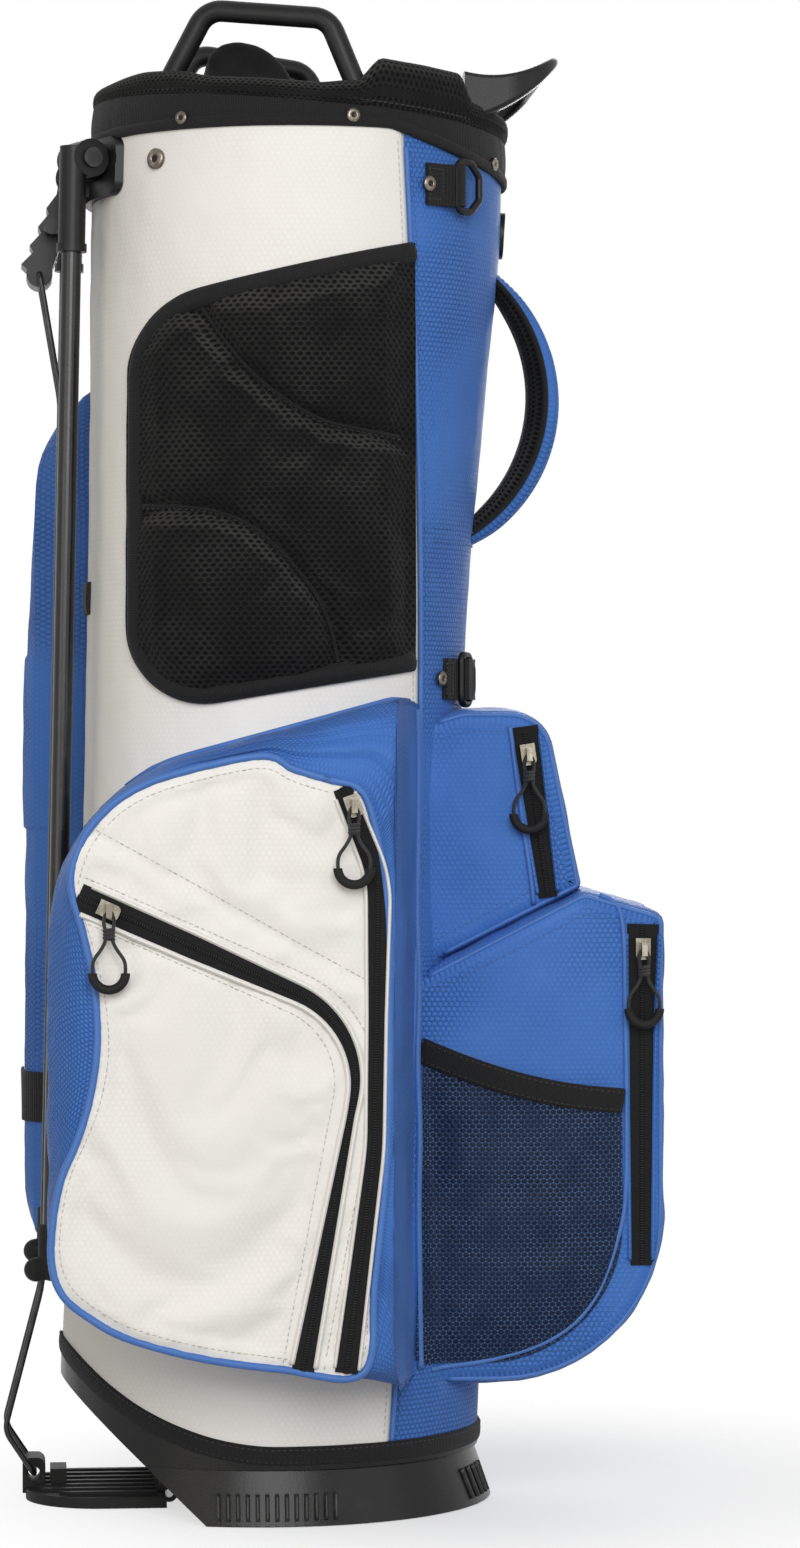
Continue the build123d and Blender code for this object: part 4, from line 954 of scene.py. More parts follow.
def collarPad():
    look = padLook
    turn, tilt = around(look["count"]), rimForm["tilt"]
    x, y = rimForm["wide"] * np.cos(turn), rimForm["deep"] * np.sin(turn)
    line = np.column_stack([rimForm["middle"] + x * math.cos(tilt), y, rimForm["level"] - x * math.sin(tilt)])
    up = np.array((math.sin(tilt), 0, math.cos(tilt)))
    line = line + up * look["rise"]
    angle = around(22)
    c, s = np.cos(angle), np.sin(angle)
    profile = np.column_stack([np.sign(c) * np.abs(c) ** 0.75 * look["half"][0],
                               np.sign(s) * np.abs(s) ** 0.8 * look["half"][1]])
    sizes = 1 + 0.03 * look["wrinkle"] * ripple(turn * 118, 0 * turn, 30, 4)
    verts, faces, flat = sweepShape(line, facing(len(line), *up), profile, True, sizes)
    # the rim is padded higher where the lift handle's arms run into it
    tall = soft(*look["from"], verts[:, 0]) * (1 - soft(*look["to"], verts[:, 0]))
    above = ((verts - (rimForm["middle"], 0, rimForm["level"])) @ up) / look["tall"]
    # and lies lower beside the loop handles and at the back
    low = look["dip"] * soft(*look["dipFrom"], verts[:, 0]) * (1 - soft(*look["dipTo"], verts[:, 0]))
    low += look["back"] * soft(*look["backFrom"], verts[:, 0])
    verts = verts + up * ((look["sleeve"] * tall - low) * np.clip(above, 0, 1.2))[:, None]
    pad = pieceOf((verts, faces, flat), "collarPad", "rimMesh", "black_mesh", stands=("collar_pad",))
    rows = Heap()
    out = ovalUps(turn, rimForm["wide"], rimForm["deep"])
    for side in (1, -1):
        row = line + out * (side * look["stitchOut"]) + up * look["stitchUp"]
        rows.take(*stitchRow(row, out * side, "rim"))
    rows.piece("collarPadStitch", "blackThread", "black_cloth")


collarPad()

dividerLook = {"voxel": 2.6, "smooth": 14, "swell": 0.9, "foot": 864.0, "high": 36.0,
               "lean": 15.0, "drop": 0.24}


def clubDivider():
    thing = shown("clubDivider", nodes["club_divider"].data.copy())
    remesh = thing.modifiers.new("even", "REMESH")
    remesh.mode = "VOXEL"
    remesh.voxel_size = dividerLook["voxel"] * mm
    relax = thing.modifiers.new("soften", "SMOOTH")
    relax.factor, relax.iterations = 0.5, dividerLook["smooth"]
    shape = bpy.data.meshes.new_from_object(thing.evaluated_get(bpy.context.evaluated_depsgraph_get()))
    verts = np.array([v.co for v in shape.vertices]) / mm
    ups = np.array([v.normal for v in shape.vertices])
    swell = dividerLook["swell"] * (1 + 0.35 * ripple(verts[:, 0] + verts[:, 2], verts[:, 1], 26, 9))
    # the middle strap stands up in a fold that leans to the back
    rise = np.clip(verts[:, 2] - dividerLook["foot"], 0, None)
    verts[:, 0] -= dividerLook["lean"] * (rise / dividerLook["high"]) ** 1.3
    verts[:, 2] -= dividerLook["drop"] * rise
    faces = [list(f.vertices) for f in shape.polygons]
    bpy.data.objects.remove(thing)
    cover = pieceOf((verts + ups * swell[:, None], faces, verts[:, :2] + verts[:, 2:] * 0.7),
                    "clubDividerCover", "fleece", "black_cloth", stands=("club_divider",))


clubDivider()
print("rim dressed")

hipLook = {"corners": ((80, 763, 0), (-88.5, 725.5, 52), (-90, 479.5, 45), (82, 508.3, 0)), "gap": 3.2,
           "edge": 2.2, "high": 6.8, "crown": 3.2, "channel": (9.4, 5.4), "least": 1.2,
           "wave": (0.3, 36, 21), "edgeHeld": 6, "channelHeld": 2.6, "clear": 7,
           "settle": {"pressure": 4.5, "spare": 0.02, "frames": 22, "cap": 3.6, "gravity": 0.3},
           "upper": ((-66, 760), (-45.6, 720), (-15.9, 681), (19.9, 656), (55, 648), (95, 642)),
           "lower": ((-105, 605), (-72, 604), (-42.6, 601), (-15.9, 590), (11, 563.7), (28.8, 533.4),
                     (38, 485)),
           "inset": ((80, 757.8, 0), (-83.3, 720.8, 46.8), (-84.8, 485.4, 39.8), (82, 513.2, 0)),
           "ends": ((79, 757.6), (80, 512.9)), "endX": 76, "binding": (12.0, 3.8, 1.2, 1.2),
           "bindingTop": 4.9, "cord": 1.3, "cordShift": (0, -0.3, 1.6)}


def hipPad():
    look = hipLook
    loop = roundedLoop(look["corners"], 4.0)
    points, faces, edge = cutPatch(loop, look["gap"])
    lines = [curveThrough(look[key], 3) for key in ("upper", "lower")]
    trough = np.minimum(*(lineGap(points, line) for line in lines))
    high = look["edge"] + look["high"] * soft(2, 24, edge)
    high += look["crown"] * soft(0, 46, np.minimum(edge, trough))
    high -= dent(trough, *look["channel"]) * soft(0, 10, edge)
    high += rumple(points, *look["wave"])
    places, out = tubePlace(*points.T)
    pad = pieceOf((places + out * np.maximum(high, look["least"])[:, None], faces, points),
                  "hipPad", "spacer", "black_mesh", stands=("hip_pad",))
    settle(pad, (edge < look["edgeHeld"]) | (trough < look["channelHeld"]), look["settle"])
    inset = roundedLoop(look["inset"], 4.0)
    inset = np.roll(inset, -int(np.argmax(inset[:, 1])), 0)
    first, last = look["ends"]
    inset = resample(np.vstack([first, inset[inset[:, 0] < look["endX"]], last]), 3.5)
    places, out = tubePlace(*inset.T)
    band, rows = Heap(), Heap()
    band.take(*sweepShape(places + out * 0.4, out, tapeProfile(*look["binding"])))
    rows.take(*stitchRow(places + out * look["bindingTop"], out, "hip"))
    tree = treeOf(pad)
    for line in lines:
        line = line[inLoop(line, loop)]
        line = line[lineGap(line, loop, True) > look["clear"]]
        floorAt, up = layOn(tree, atDepth(line, -100.0), lift=0.1)
        rows.take(*stitchRow(floorAt, up, "channel"))
        band.take(*sweepShape(floorAt + look["cordShift"], up, roundProfile(look["cord"], 8)))
    band.piece("hipBinding", "binding", "black_cloth", stands=("hip_binding",))
    rows.piece("hipBindingStitch", "blackThread", "black_cloth")


hipPad()
print("hip pad dressed")


def polar(loop, middle):
    # how far the outline is from the middle at each angle
    reach = np.asarray(loop) - middle
    turn = np.arctan2(reach[:, 1], reach[:, 0])
    order = np.argsort(turn)
    turn, far = turn[order], np.hypot(reach[:, 0], reach[:, 1])[order]
    return lambda angle: np.interp(angle, turn, far, period=fullTurn)


def pipeOn(heap, points, radius, closed=False):
    heap.take(*sweepShape(points, facing(len(points), 0, -1, 0), roundProfile(radius), closed))


# half widths across and heights of a zip tape's section, and the section of the lips beside it
zipForm = {"tape": ((1, -0.6), (1, 0.5), (0.9, 0.85), (0.3, 0.95), (-0.3, 0.95), (-0.9, 0.85),
                    (-1, 0.5), (-1, -0.6)),
           "lips": (1.7, 0.3, 0.8)}


def zipRun(name, line, out, widths, node, lips, teeth=None):
    # a tape whose width is given at even steps, with a row of teeth on it and a lip of cloth on each side
    ups = facing(len(line), 0, out, 0)
    width = np.interp(np.linspace(0, 1, len(line)), np.linspace(0, 1, len(widths)), widths)
    teeth = line if teeth is None else teeth
    side = unit(np.cross(unit(np.gradient(line, axis=0)), ups))
    rows = [line + side * (width / 2 * k)[:, None] + ups * h for k, h in zipForm["tape"]]
    flat = np.concatenate([np.column_stack([runOf(line), k * width / 2]) for k, _ in zipForm["tape"]])
    pieceOf((np.vstack(rows), gridFaces(len(rows), len(line)), flat), name + "Tape", "zipTape", "zip_black",
            stands=(node,) if node else ())
    pieceOf(stitchRow(teeth + ups[:1], facing(len(teeth), 0, out, 0), "teeth", across=True),
            name + "Coil", "coilBlack", "zip_black")
    look, slot, wide = lips
    edge = Heap()
    for turn in (-1, 1):
        place = (line + side * (turn * (width / 2 + wide * 0.2))[:, None])[2:-1]
        edge.take(*sweepShape(place, ups[2:-1], tapeProfile(wide, *zipForm["lips"])))
    edge.piece(name + "Lips", look, slot)


def panelDepth(points, edge, look):
    # a cloth panel's depth before it settles, rolled over at its edge
    (drop, roll), (high, size, seed, calm) = look["roll"], look["wave"]
    deep = look["front"] - drop * (1 - soft(0, roll, edge))
    return deep + rumple(points, high, size, seed) * soft(0, calm, edge)


def gussetRays(loop, look, turn):
    # the panel's edge and the pocket's outline on the same rays from the middle
    aim = np.column_stack([np.cos(turn), np.sin(turn)])
    lines = (resample(loop, 1.0, True), roundedLoop(look["outer"], 1.0))
    return [aim] + [look["middle"] + aim * polar(line, look["middle"])(turn)[:, None] for line in lines]


def gusset(name, look, rays, steps, side, foldsAt, node):
    # rows of cloth from the panel's edge out to the pocket's outline, then back to the tube
    aim, inner, outer = rays
    run = runOf(outer)
    left, tuck, slope = look["left"]
    right, face, flare = look["right"]
    rows, flats = [], []
    for index, (share, depth) in enumerate(steps):
        spot = inner + (outer - inner) * share
        crease, pleat = foldsAt(index, share, depth, run, spot)
        ends = left + max(0.0, tuck - depth) * slope, right + (face - depth) * flare
        x = np.clip(spot[:, 0], *ends) + aim[:, 0] * crease
        rows.append(np.column_stack([x, side * (depth + pleat + 0 * x), spot[:, 1] + aim[:, 1] * crease]))
        flats.append(np.column_stack([run, np.full(len(run), share * look["lay"] - depth)]))
    faces = gridFaces(len(rows), len(run), True)
    shape = (outOfTube(np.vstack(rows)), faces if side < 0 else flipped(faces), np.vstack(flats))
    return pieceOf(shape, name, "blue", "blue_cloth", stands=(node,))


# roll: depth and width; wave: height, size, seed, distance kept from the edge; left and right: x, the depth
# from which the gusset leans in or out, slope; folds: place, width, height; creases: x, z, direction, height;
# pipes: radii round the panel, on the hem and on the seam
nearLook = {
    "panel": ((24, 441.5), (41, 436.3), (49.1, 418.4), (55.5, 384.8), (58.4, 338.5), (57.2, 227.3), (50, 150),
              (43.3, 97.6), (-4.9, 100.5), (-51.4, 107.4), (-92.7, 119), (-114.2, 130.6), (-130.5, 144.5),
              (-136.9, 163.6), (-135.7, 189.7), (-131, 212.2), (-122.9, 231.4), (-115.4, 255.1),
              (-110.7, 286.9), (-112, 320), (-118, 350), (-125.8, 381.3), (-121.2, 401.6), (-112.5, 416.6),
              (-94.4, 432.8), (-67.7, 444.4), (-16, 455.4), (2.6, 447.9)),
    "outer": ((-139, 126, 70), (-139, 433.5, 115), (72, 491, 20), (95, 485, 0), (95, 82, 0)),
    "middle": (-35, 270), "front": 184.4, "gap": 4.6, "roll": (1.0, 9), "wave": (0.35, 42, 31, 14),
    "left": (-139, 104, 0.714), "right": (62, 183.5, 0.209), "lay": 30, "columns": 330, "edgeDepth": 183.6,
    "shares": (0, 0.05, 0.12, 0.2, 0.28, 0.36, 0.44, 0.52, 0.6, 0.68, 0.76, 0.83, 0.89, 0.94, 0.98),
    "depths": (159, 153, 147, 141, 135, 129, 123, 117, 111, 104, 97, 90, 82, 74, 66, 60),
    "fall": 24.0, "folds": ((0.32, 0.06, -2.4), (0.46, 0.09, 3.6), (0.64, 0.05, -3.0), (0.79, 0.09, 3.4)),
    "creases": ((-113, 312, -40, 1.3), (-112, 288, -48, 1.6), (-116, 262, -52, 1.1), (-120, 348, -28, 0.9),
                (-126, 200, -8, 0.8), (30, 140, 105, 0.7), (-60, 440, -80, 0.8), (0, 440, -100, 0.7)),
    "welt": ((-118, 411.5), (-60, 379.5), (0, 345.5), (47, 319.5)), "weltDip": (1.0, 3.0), "flap": 1.5,
    "edgeHeld": 1.5, "weltHeld": 2.6,
    "settle": {"pressure": 3.2, "spare": 0.02, "frames": 26, "cap": 5.2, "gravity": 0.6},
    "hem": (-92, 84), "seamX": 84.5, "seamZ": (88, 484), "pipes": (2.3, 1.7, 2.1), "pipeDepth": 183.9,
    "stitchIn": 7.0, "weltStitch": 4.5, "zipStitch": 12.0,
}
zipLook = {"main": {"line": ((-121.6, 374.2, 0), (46, 300, 56), (8.2, 99.8, 0)), "lip": 3.2,
                    "widths": (16.5, 15.0, 10.5, 6.0, 9.5, 13.0), "held": 8.5, "clear": 8.5},
           "side": {"line": ((31, 437, 0), (52, 385, 80), (50, 228, 200), (33.4, 98, 0)), "lip": 2.2,
                    "widths": (11.0, 13.0, 10.5, 10.0, 11.5, 13.5), "held": 6.5, "clear": 7.0}}


def zipPath(name, gap=2.5):
    corners = zipLook[name]["line"]
    loop = roundedLoop(tuple(corners) + ((-400, corners[-1][1], 0), (-400, corners[0][1], 0)), gap)
    ends = np.array((corners[0][:2], corners[-1][:2]), float)
    first, last = (int(np.argmin(np.hypot(*(loop - end).T))) for end in ends)
    part = loop[first:last + 1] if first <= last else np.roll(loop, -first, 0)[:last - first + len(loop) + 1]
    return resample(np.vstack([ends[:1], part[1:-1], ends[1:]]), gap)


def beside(line, shift):
    # the same flat line, moved to its left
    return line + unit(np.column_stack([-np.gradient(line[:, 1]), np.gradient(line[:, 0])])) * shift


def nearPanel(loop, zips, welt):
    look = nearLook
    points, faces, edge = cutPatch(loop, look["gap"])
    toMain, toSide, toWelt = (lineGap(points, line) for line in (zips["main"], zips["side"], welt))
    sewn = (toMain < zipLook["main"]["held"]) | (toSide < zipLook["side"]["held"])
    deep = panelDepth(points, edge, look)
    deep[sewn] = look["front"]
    panel = pieceOf((atDepth(points, -deep), faces, points), "nearPanel", "white", "white_cloth",
                    stands=("apparel_panel_near",))
    settle(panel, (edge < look["edgeHeld"]) | sewn | (toWelt < look["weltHeld"]), look["settle"])
    shape = np.array([v.co for v in panel.data.vertices]) / mm
    x, z = points.T
    # the flap over the main zip, with a welt along its edge
    over = np.interp(x, welt[:, 0], welt[:, 1]) - z
    flap = soft(0, 3, over) * soft(7, 15, toMain) * (z > np.interp(x, *zips["main"][:60].T))
    shape[:, 1] += dent(toWelt, *look["weltDip"]) * ~sewn - look["flap"] * flap * (toSide > 7)
    calm = soft(1, 12, edge) * soft(6, 16, toMain) * soft(6, 12, toSide)
    for left, foot, turn, high in look["creases"]:
        c, s = math.cos(math.radians(turn)), math.sin(math.radians(turn))
        along, off = (x - left) * c + (z - foot) * s, (z - foot) * c - (x - left) * s
        fold = np.exp(-((off + 0.004 * along ** 2) / (4 + 0.06 * np.abs(along))) ** 2)
        fold = fold * np.exp(-np.maximum(along, 0) / 34) * soft(-8, 4, along)
        shape[:, 1] -= high * fold * calm
    reshape(panel, shape * mm)
    return panel


def nearFolds(rays):
    # creases all over the gusset, and pleats where it is gathered at the top
    aim, _, outer = rays
    upper = soft(0.55, 0.9, aim[:, 1]) * soft(-100, -20, outer[:, 0])

    def foldsAt(index, share, depth, run, spot):
        free = soft(0.03, 0.4, share)
        crease = ripple(run, depth * 0.5, 46, 41) + 0.6 * ripple(run + depth, depth * 1.4, 22, 43)
        crease = crease * free * (1 - 0.6 * soft(120, 70, depth)) - 0.6 * free
        pleats = (high * math.exp(-((share - at) / wide) ** 2) for at, wide, high in nearLook["folds"])
        return crease, sum(pleats) * upper

    return foldsAt


def nearPocket():
    look = nearLook
    loop = curveThrough(look["panel"], 4.2, True)
    zips = {name: zipPath(name) for name in zipLook}
    welt = curveThrough(look["welt"], 3)
    tree = treeOf(nearPanel(loop, zips, welt))
    rays = gussetRays(loop, look, np.linspace(-math.pi / 2, 1.5 * math.pi, look["columns"], endpoint=False))
    steps = [(share, look["edgeDepth"] - look["fall"] * share ** 3) for share in look["shares"]]
    steps += [(1.0, depth) for depth in look["depths"]]
    gusset("nearGusset", look, rays, steps, -1, nearFolds(rays), "apparel_pocket_near")

    aim, _, outer = rays
    rim, hemPipe, seamPipe = look["pipes"]
    piping = Heap()
    pipeOn(piping, atDepth(loop, -look["pipeDepth"]), rim, True)
    low, high = look["hem"]
    hem = resample(outer[(outer[:, 0] > low) & (outer[:, 0] < high) & (aim[:, 1] > 0)], 3.0)
    ends = np.minimum(np.arange(len(hem)), np.arange(len(hem))[::-1])
    piping.take(*sweepShape(*tubePlace(*hem.T, grow=0.6), roundProfile(hemPipe, 8),
                            sizes=0.25 + 0.75 * soft(0, 7, ends)))
    z = np.linspace(*look["seamZ"], 140)
    piping.take(*sweepShape(*tubePlace(look["seamX"] + 0.6 * ripple(z, 0 * z, 90, 45), z, grow=0.6),
                            roundProfile(seamPipe)))
    piping.piece("nearPiping", "bluePiping", "blue_cloth")

    thread = Heap()
    reach = loop - look["middle"]
    inside = look["middle"] + reach * (1 - look["stitchIn"] / np.hypot(*reach.T))[:, None]
    lines = [np.vstack([inside, inside[:1]]), beside(welt, look["weltStitch"])]
    lines += [beside(zips["main"], shift) for shift in (look["zipStitch"], -look["zipStitch"])]
    for line in lines:
        line = resample(line, 3.0)
        clear = [lineGap(line, path) > zipLook[name]["clear"] for name, path in zips.items()]
        line = line[inLoop(line, loop) & np.all(clear, axis=0)]
        for piece in np.split(line, np.where(np.linalg.norm(np.diff(line, axis=0), axis=1) > 7)[0] + 1):
            if len(piece) > 4:
                thread.take(*stitchRow(*layOn(tree, atDepth(piece, -184.0), lift=0.1), "pocket"))
    thread.piece("nearStitch", "whiteThread", "white_cloth")
    for name, path in zips.items():
        zipRun("zip" + name.capitalize(), atDepth(path, -look["front"] - 0.3), -1, zipLook[name]["widths"],
               "zip_tape_" + name, ("white", "white_cloth", zipLook[name]["lip"]))


nearPocket()
print("near pocket sewn")

# creases here: height, lean, size, seed
farLook = {"outer": ((-152, 104, 80), (-152, 500, 60), (-140.5, 702, 75), (85, 702, 40), (85, 104, 40)),
           "inner": ((-138, 118, 66), (-138, 500, 60), (-126.5, 688, 61), (62, 688, 30), (62, 118, 30)),
           "sleeve": (410, 521), "middle": (-35, 400), "front": 182.6, "gap": 6.5, "roll": (0.8, 10),
           "wave": (0.4, 60, 51, 16), "left": (-152, 112, 1.2), "right": (70, 183.5, 0.24), "lay": 20,
           "columns": 300, "rows": ((0, 182.4), (0.3, 182.6), (0.62, 180), (0.86, 174), (1, 166), (1, 155),
                                    (1, 143), (1, 131), (1, 119), (1, 107), (1, 95), (1, 83),
                                    (1, 76), (1, 68)),
           "zip": ((-100, 150), (-112, 220), (-113, 400), (-112, 560), (-98, 640), (-52, 664), (20, 668)),
           "zipWidth": 11, "zipLip": 3.0, "zipHeld": 9, "edgeHeld": 1.5, "pipe": 2.2, "pipeDepth": 182.3,
           "creases": ((0.7, 0.5, 60, 53), (0.4, 1.0, 26, 54)), "sleeveProud": 1.7,
           "settle": {"pressure": 2.6, "spare": 0.015, "frames": 20, "cap": 4.2, "gravity": 0.6},
           "band": (32, 1.2, 0.0, 0.6), "bandHeight": 238.0, "bandSlope": (-116, -148, 14),
           "bandSide": (116, 163.5, 16)}


def farFolds(index, share, depth, run, spot):
    # creases, and a sleeve that stands proud of the rest
    foot, top = farLook["sleeve"]
    free = min(1.0, index / 4)
    over = soft(foot - 0.9, foot + 0.9, spot[:, 1]) * (1 - soft(top - 0.9, top + 0.9, spot[:, 1]))
    crease = sum(high * ripple(run, depth * lean, *wave) for high, lean, *wave in farLook["creases"])
    return (crease - 0.5) * free + (farLook["sleeveProud"] * over - 1.0) * free, 0.0


def farPocket():
    look = farLook
    loop = roundedLoop(look["inner"], 5.0)
    points, faces, edge = cutPatch(loop, look["gap"])
    path = curveThrough(look["zip"], 3)
    sewn = lineGap(points, path) < look["zipHeld"]
    deep = panelDepth(points, edge, look)
    deep[sewn] = look["front"]
    panel = pieceOf((atDepth(points, deep), flipped(faces), points), "farPanel", "white", "white_cloth")
    settle(panel, (edge < look["edgeHeld"]) | sewn, look["settle"])
    x, z = look["middle"]
    hems = np.array([hem + way for hem in look["sleeve"] for way in (-0.8, 0.8)])  # get their own columns
    turn = np.linspace(-math.pi / 2, 1.5 * math.pi, look["columns"], endpoint=False)
    turn = np.sort(np.r_[turn, np.arctan2(hems - z, look["left"][0] - x)])
    rays = gussetRays(loop, look, turn)
    tree = treeOf(gusset("farGusset", look, rays, look["rows"], 1, farFolds, "apparel_pocket_far"))
    piping = Heap()
    pipeOn(piping, atDepth(loop, look["pipeDepth"]), look["pipe"], True)
    piping.piece("farPiping", "bluePiping", "blue_cloth")
    zipRun("zipFar", atDepth(path, look["front"] + 0.1), 1, (look["zipWidth"],) * 2, None,
           ("white", "white_cloth", look["zipLip"]))
    level = look["bandHeight"]
    slope = layOn(tree, [(x, 40.0, level) for x in np.linspace(*look["bandSlope"])], lift=1.0)
    side = layOn(tree, [(-170.0, y, level) for y in np.linspace(*look["bandSide"])], aim=(1, 0, 0), lift=1.0)
    pieceOf(sweepShape(*(np.vstack(pair) for pair in zip(slope, side)), tapeProfile(*look["band"])),
            "farBand", "webbing", "black_cloth", stands=("far_pocket_band",))


farPocket()
print("far pocket sewn")

# half: half the pocket's width; bulge and crown: how far its front and its sides fill out
boxLook = {
    "ball": {"corners": ((40, 300, 0), (93, 327, 0), (186, 374.5, 10), (236, 360, 8), (236, 76, 100),
                         (40, 76, 0)),
             "half": 78, "round": 9, "bulge": 2.4, "crown": 2.2, "node": "ball_pocket", "seed": 61,
             "zip": ((222.0, 354), (221.0, 300), (220.8, 240), (220.8, 147)), "widths": (19.5, 16, 14.5, 13),
             "teeth": ((221.5, 352), (221.5, 149)),
             "seam": ((196, 371), (208.5, 360), (211.0, 300), (211.5, 200), (207, 166), (192, 127),
                      (168, 104), (130, 91), (92, 86))},
    "accessory": {"corners": ((40, 462, 0), (113, 484, 20), (165, 484, 28), (187.5, 375.5, 5),
                              (40, 301.5, 0)),
                  "half": 66, "round": 9, "bulge": 1.6, "crown": 1.8, "node": "accessory_pocket", "seed": 71,
                  "zip": ((150.7, 474), (165.5, 370)), "widths": (17.0, 11.5),
                  "teeth": ((151.1, 470), (165.3, 372)),
                  "seam": ((142, 474), (149, 420), (155, 380), (156.5, 366))},
}
boxForm = {"crease": (0.8, 52), "fine": (0.35, 22), "calm": 14, "fill": 42, "side": (0.5, 46), "sideGap": 5.0}
boxTrim = {"pipe": 1.5, "pipeIn": 3.2, "pipeBack": 2.3, "seamPipe": 1.6, "stitchIn": 4.0, "zipLip": 2.6}


def boxPath(look, gap=4.0):
    # the side view's outline, the way inwards from it, and the share of a rolled edge that its bends allow
    corners = look["corners"]
    ring = roundedLoop(corners, gap)
    path = np.vstack([[corners[0][:2]], ring[1:][ring[1:, 0] > 41.5], [corners[-1][:2]]])
    along = unit(np.gradient(path, axis=0))
    bend = np.abs(np.gradient(np.unwrap(np.arctan2(along[:, 1], along[:, 0])))) / gap
    bend = np.convolve(np.pad(bend, 2, "edge"), np.ones(5) / 5, "valid")
    room = np.minimum(1.0, 0.75 / np.maximum(bend * look["round"], 1e-6))
    return path, np.column_stack([along[:, 1], -along[:, 0]]), room


def boxProfile(look):
    # depths from side to side, each with how far the outline lies inwards there
    roll, flatPart = look["round"], look["half"] - look["round"]
    turns = np.linspace(0, math.pi / 2, 6)
    edge = [(-(flatPart + roll * math.cos(t)), roll * (1 - math.sin(t))) for t in turns]
    depths = np.linspace(-flatPart, flatPart, 18)[1:-1]
    middle = [(y, -look["bulge"] * (1 - (y / flatPart) ** 2)) for y in depths]
    return edge + middle + [(-y, inset) for y, inset in edge[::-1]]


def boxShell(name, look, path, inward, room):
    half, seed = look["half"], look["seed"]
    (crease, large), (fine, small) = boxForm["crease"], boxForm["fine"]
    run = runOf(path)
    rows, flats = [], []
    for y, inset in boxProfile(look):
        fold = crease * ripple(run, y, large, seed) + fine * ripple(run, y, small, seed + 1)
        fold = fold * soft(half, half - boxForm["calm"], abs(y))
        spot = path + inward * (np.maximum(inset, 0) * room + min(inset, 0) - fold)[:, None]
        rows.append(atDepth(spot, y))
        flats.append(np.column_stack([run, np.full(len(run), y)]))
    heap = Heap()
    heap.take(outOfTube(np.vstack(rows)), flipped(gridFaces(len(rows), len(run))), np.vstack(flats))
    # the two sides, filled out a little
    back = np.linspace(path[-1], path[0], 60)[1:-1]
    points, faces, edge = cutPatch(np.vstack([rows[0][:, [0, 2]], back]), boxForm["sideGap"])
    puff = look["crown"] * soft(0, boxForm["fill"], edge)
    puff += rumple(points, *boxForm["side"], seed + 2) * soft(4, 26, edge)
    for side in (-1, 1):
        verts = outOfTube(atDepth(points, side * (half + puff)))
        heap.take(verts, faces if side > 0 else flipped(faces), points)
    return heap.piece(name + "Pocket", "blue", "blue_cloth", stands=(look["node"],))


def boxPocket(name):
    look, trim = boxLook[name], boxTrim
    half = look["half"]
    path, inward, room = boxPath(look)
    shell = boxShell(name, look, path, inward, room)
    tree = treeOf(shell)
    thread, piping = Heap(), Heap()
    for side in (-1, 1):
        seam = atDepth(path + inward * (trim["pipeIn"] * room)[:, None], side * (half - trim["pipeBack"]))
        clear = np.linalg.norm(outOfTube(seam, 1.0) - seam, axis=1) < 0.01
        pipeOn(piping, seam[clear], trim["pipe"])
        row = atDepth(path + inward * ((look["round"] + trim["stitchIn"]) * room)[:, None], side * half)
        thread.take(*stitchRow(*layOn(tree, resample(row[clear], 3.0), (0, -side, 0), 0.1), "pocket"))
    for side in (-1, 1):
        seam = atDepth(curveThrough(look["seam"], 3.0), side * half)
        piping.take(*sweepShape(*layOn(tree, seam, (0, -side, 0), 0.4), roundProfile(trim["seamPipe"], 8)))
    piping.piece(name + "Piping", "bluePiping", "blue_cloth")
    thread.piece(name + "Stitch", "blueThread", "blue_cloth")
    line, teeth = (resample(atDepth(look[key], -half - 0.1), 3.0) for key in ("zip", "teeth"))
    zipRun("zip" + name.capitalize(), line, -1, look["widths"], "zip_tape_" + name,
           ("blue", "blue_cloth", trim["zipLip"]), teeth)
    return shell


ballShell = boxPocket("ball")
boxPocket("accessory")
print("front pockets sewn")

pouchLook = {"corners": ((80, 90, 6), (87, 287, 0), (209, 259, 0), (210, 86, 84)), "gap": 4.0, "deep": 10.0,
             "top": ((86, 286), (112, 275.5), (145, 265), (178, 258), (209, 254.5)), "reach": 24,
             "level": -79.0, "wave": (0.8, 40, 81), "offPocket": 0.9, "offTube": 1.6, "hem": 6,
             "binding": 15.0, "thick": 2.2, "stitches": 5.4}


def meshPouch():
    look, level = pouchLook, pouchLook["level"]
    loop = roundedLoop(look["corners"], 4.0)
    points, faces, _ = cutPatch(loop, look["gap"])
    top = curveThrough(look["top"], 4)
    points[:, 1] = np.minimum(points[:, 1], np.interp(points[:, 0], *top.T))
    sewn = loop[loop[:, 1] < np.interp(loop[:, 0], *top.T) - look["hem"]]
    away = np.linalg.norm(points[:, None] - sewn[None], axis=2).min(1)
    puff = look["deep"] * (1 - np.exp(-(away / look["reach"]) ** 1.4))
    puff += rumple(points, *look["wave"]) * soft(2, 24, away)
    ground, _ = layOn(treeOf(ballShell), atDepth(points, level), smooth=0)
    deep = np.minimum(level, ground[:, 1] - look["offPocket"]) - puff
    verts = outOfTube(atDepth(points, deep), look["offTube"])
    net = pieceOf((verts, flipped(faces), points), "meshPouch", "net", "net", stands=("mesh_pouch",))
    line, ups = layOn(treeOf(net), atDepth(top - (0, look["binding"] / 2), level), smooth=4)
    pieceOf(sweepShape(line, ups, tapeProfile(look["binding"], look["thick"], 0.3, 0.8)),
            "meshBinding", "binding", "black_cloth", stands=("mesh_binding",))
    thread = Heap()
    side = unit(np.cross(unit(np.gradient(line, axis=0)), ups))
    for shift in (-look["stitches"], look["stitches"]):
        thread.take(*stitchRow(line + side * shift + ups * look["thick"], ups, "trim"))
    thread.piece("meshBindingStitch", "blackThread", "black_cloth")


meshPouch()
print("pouch sewn")

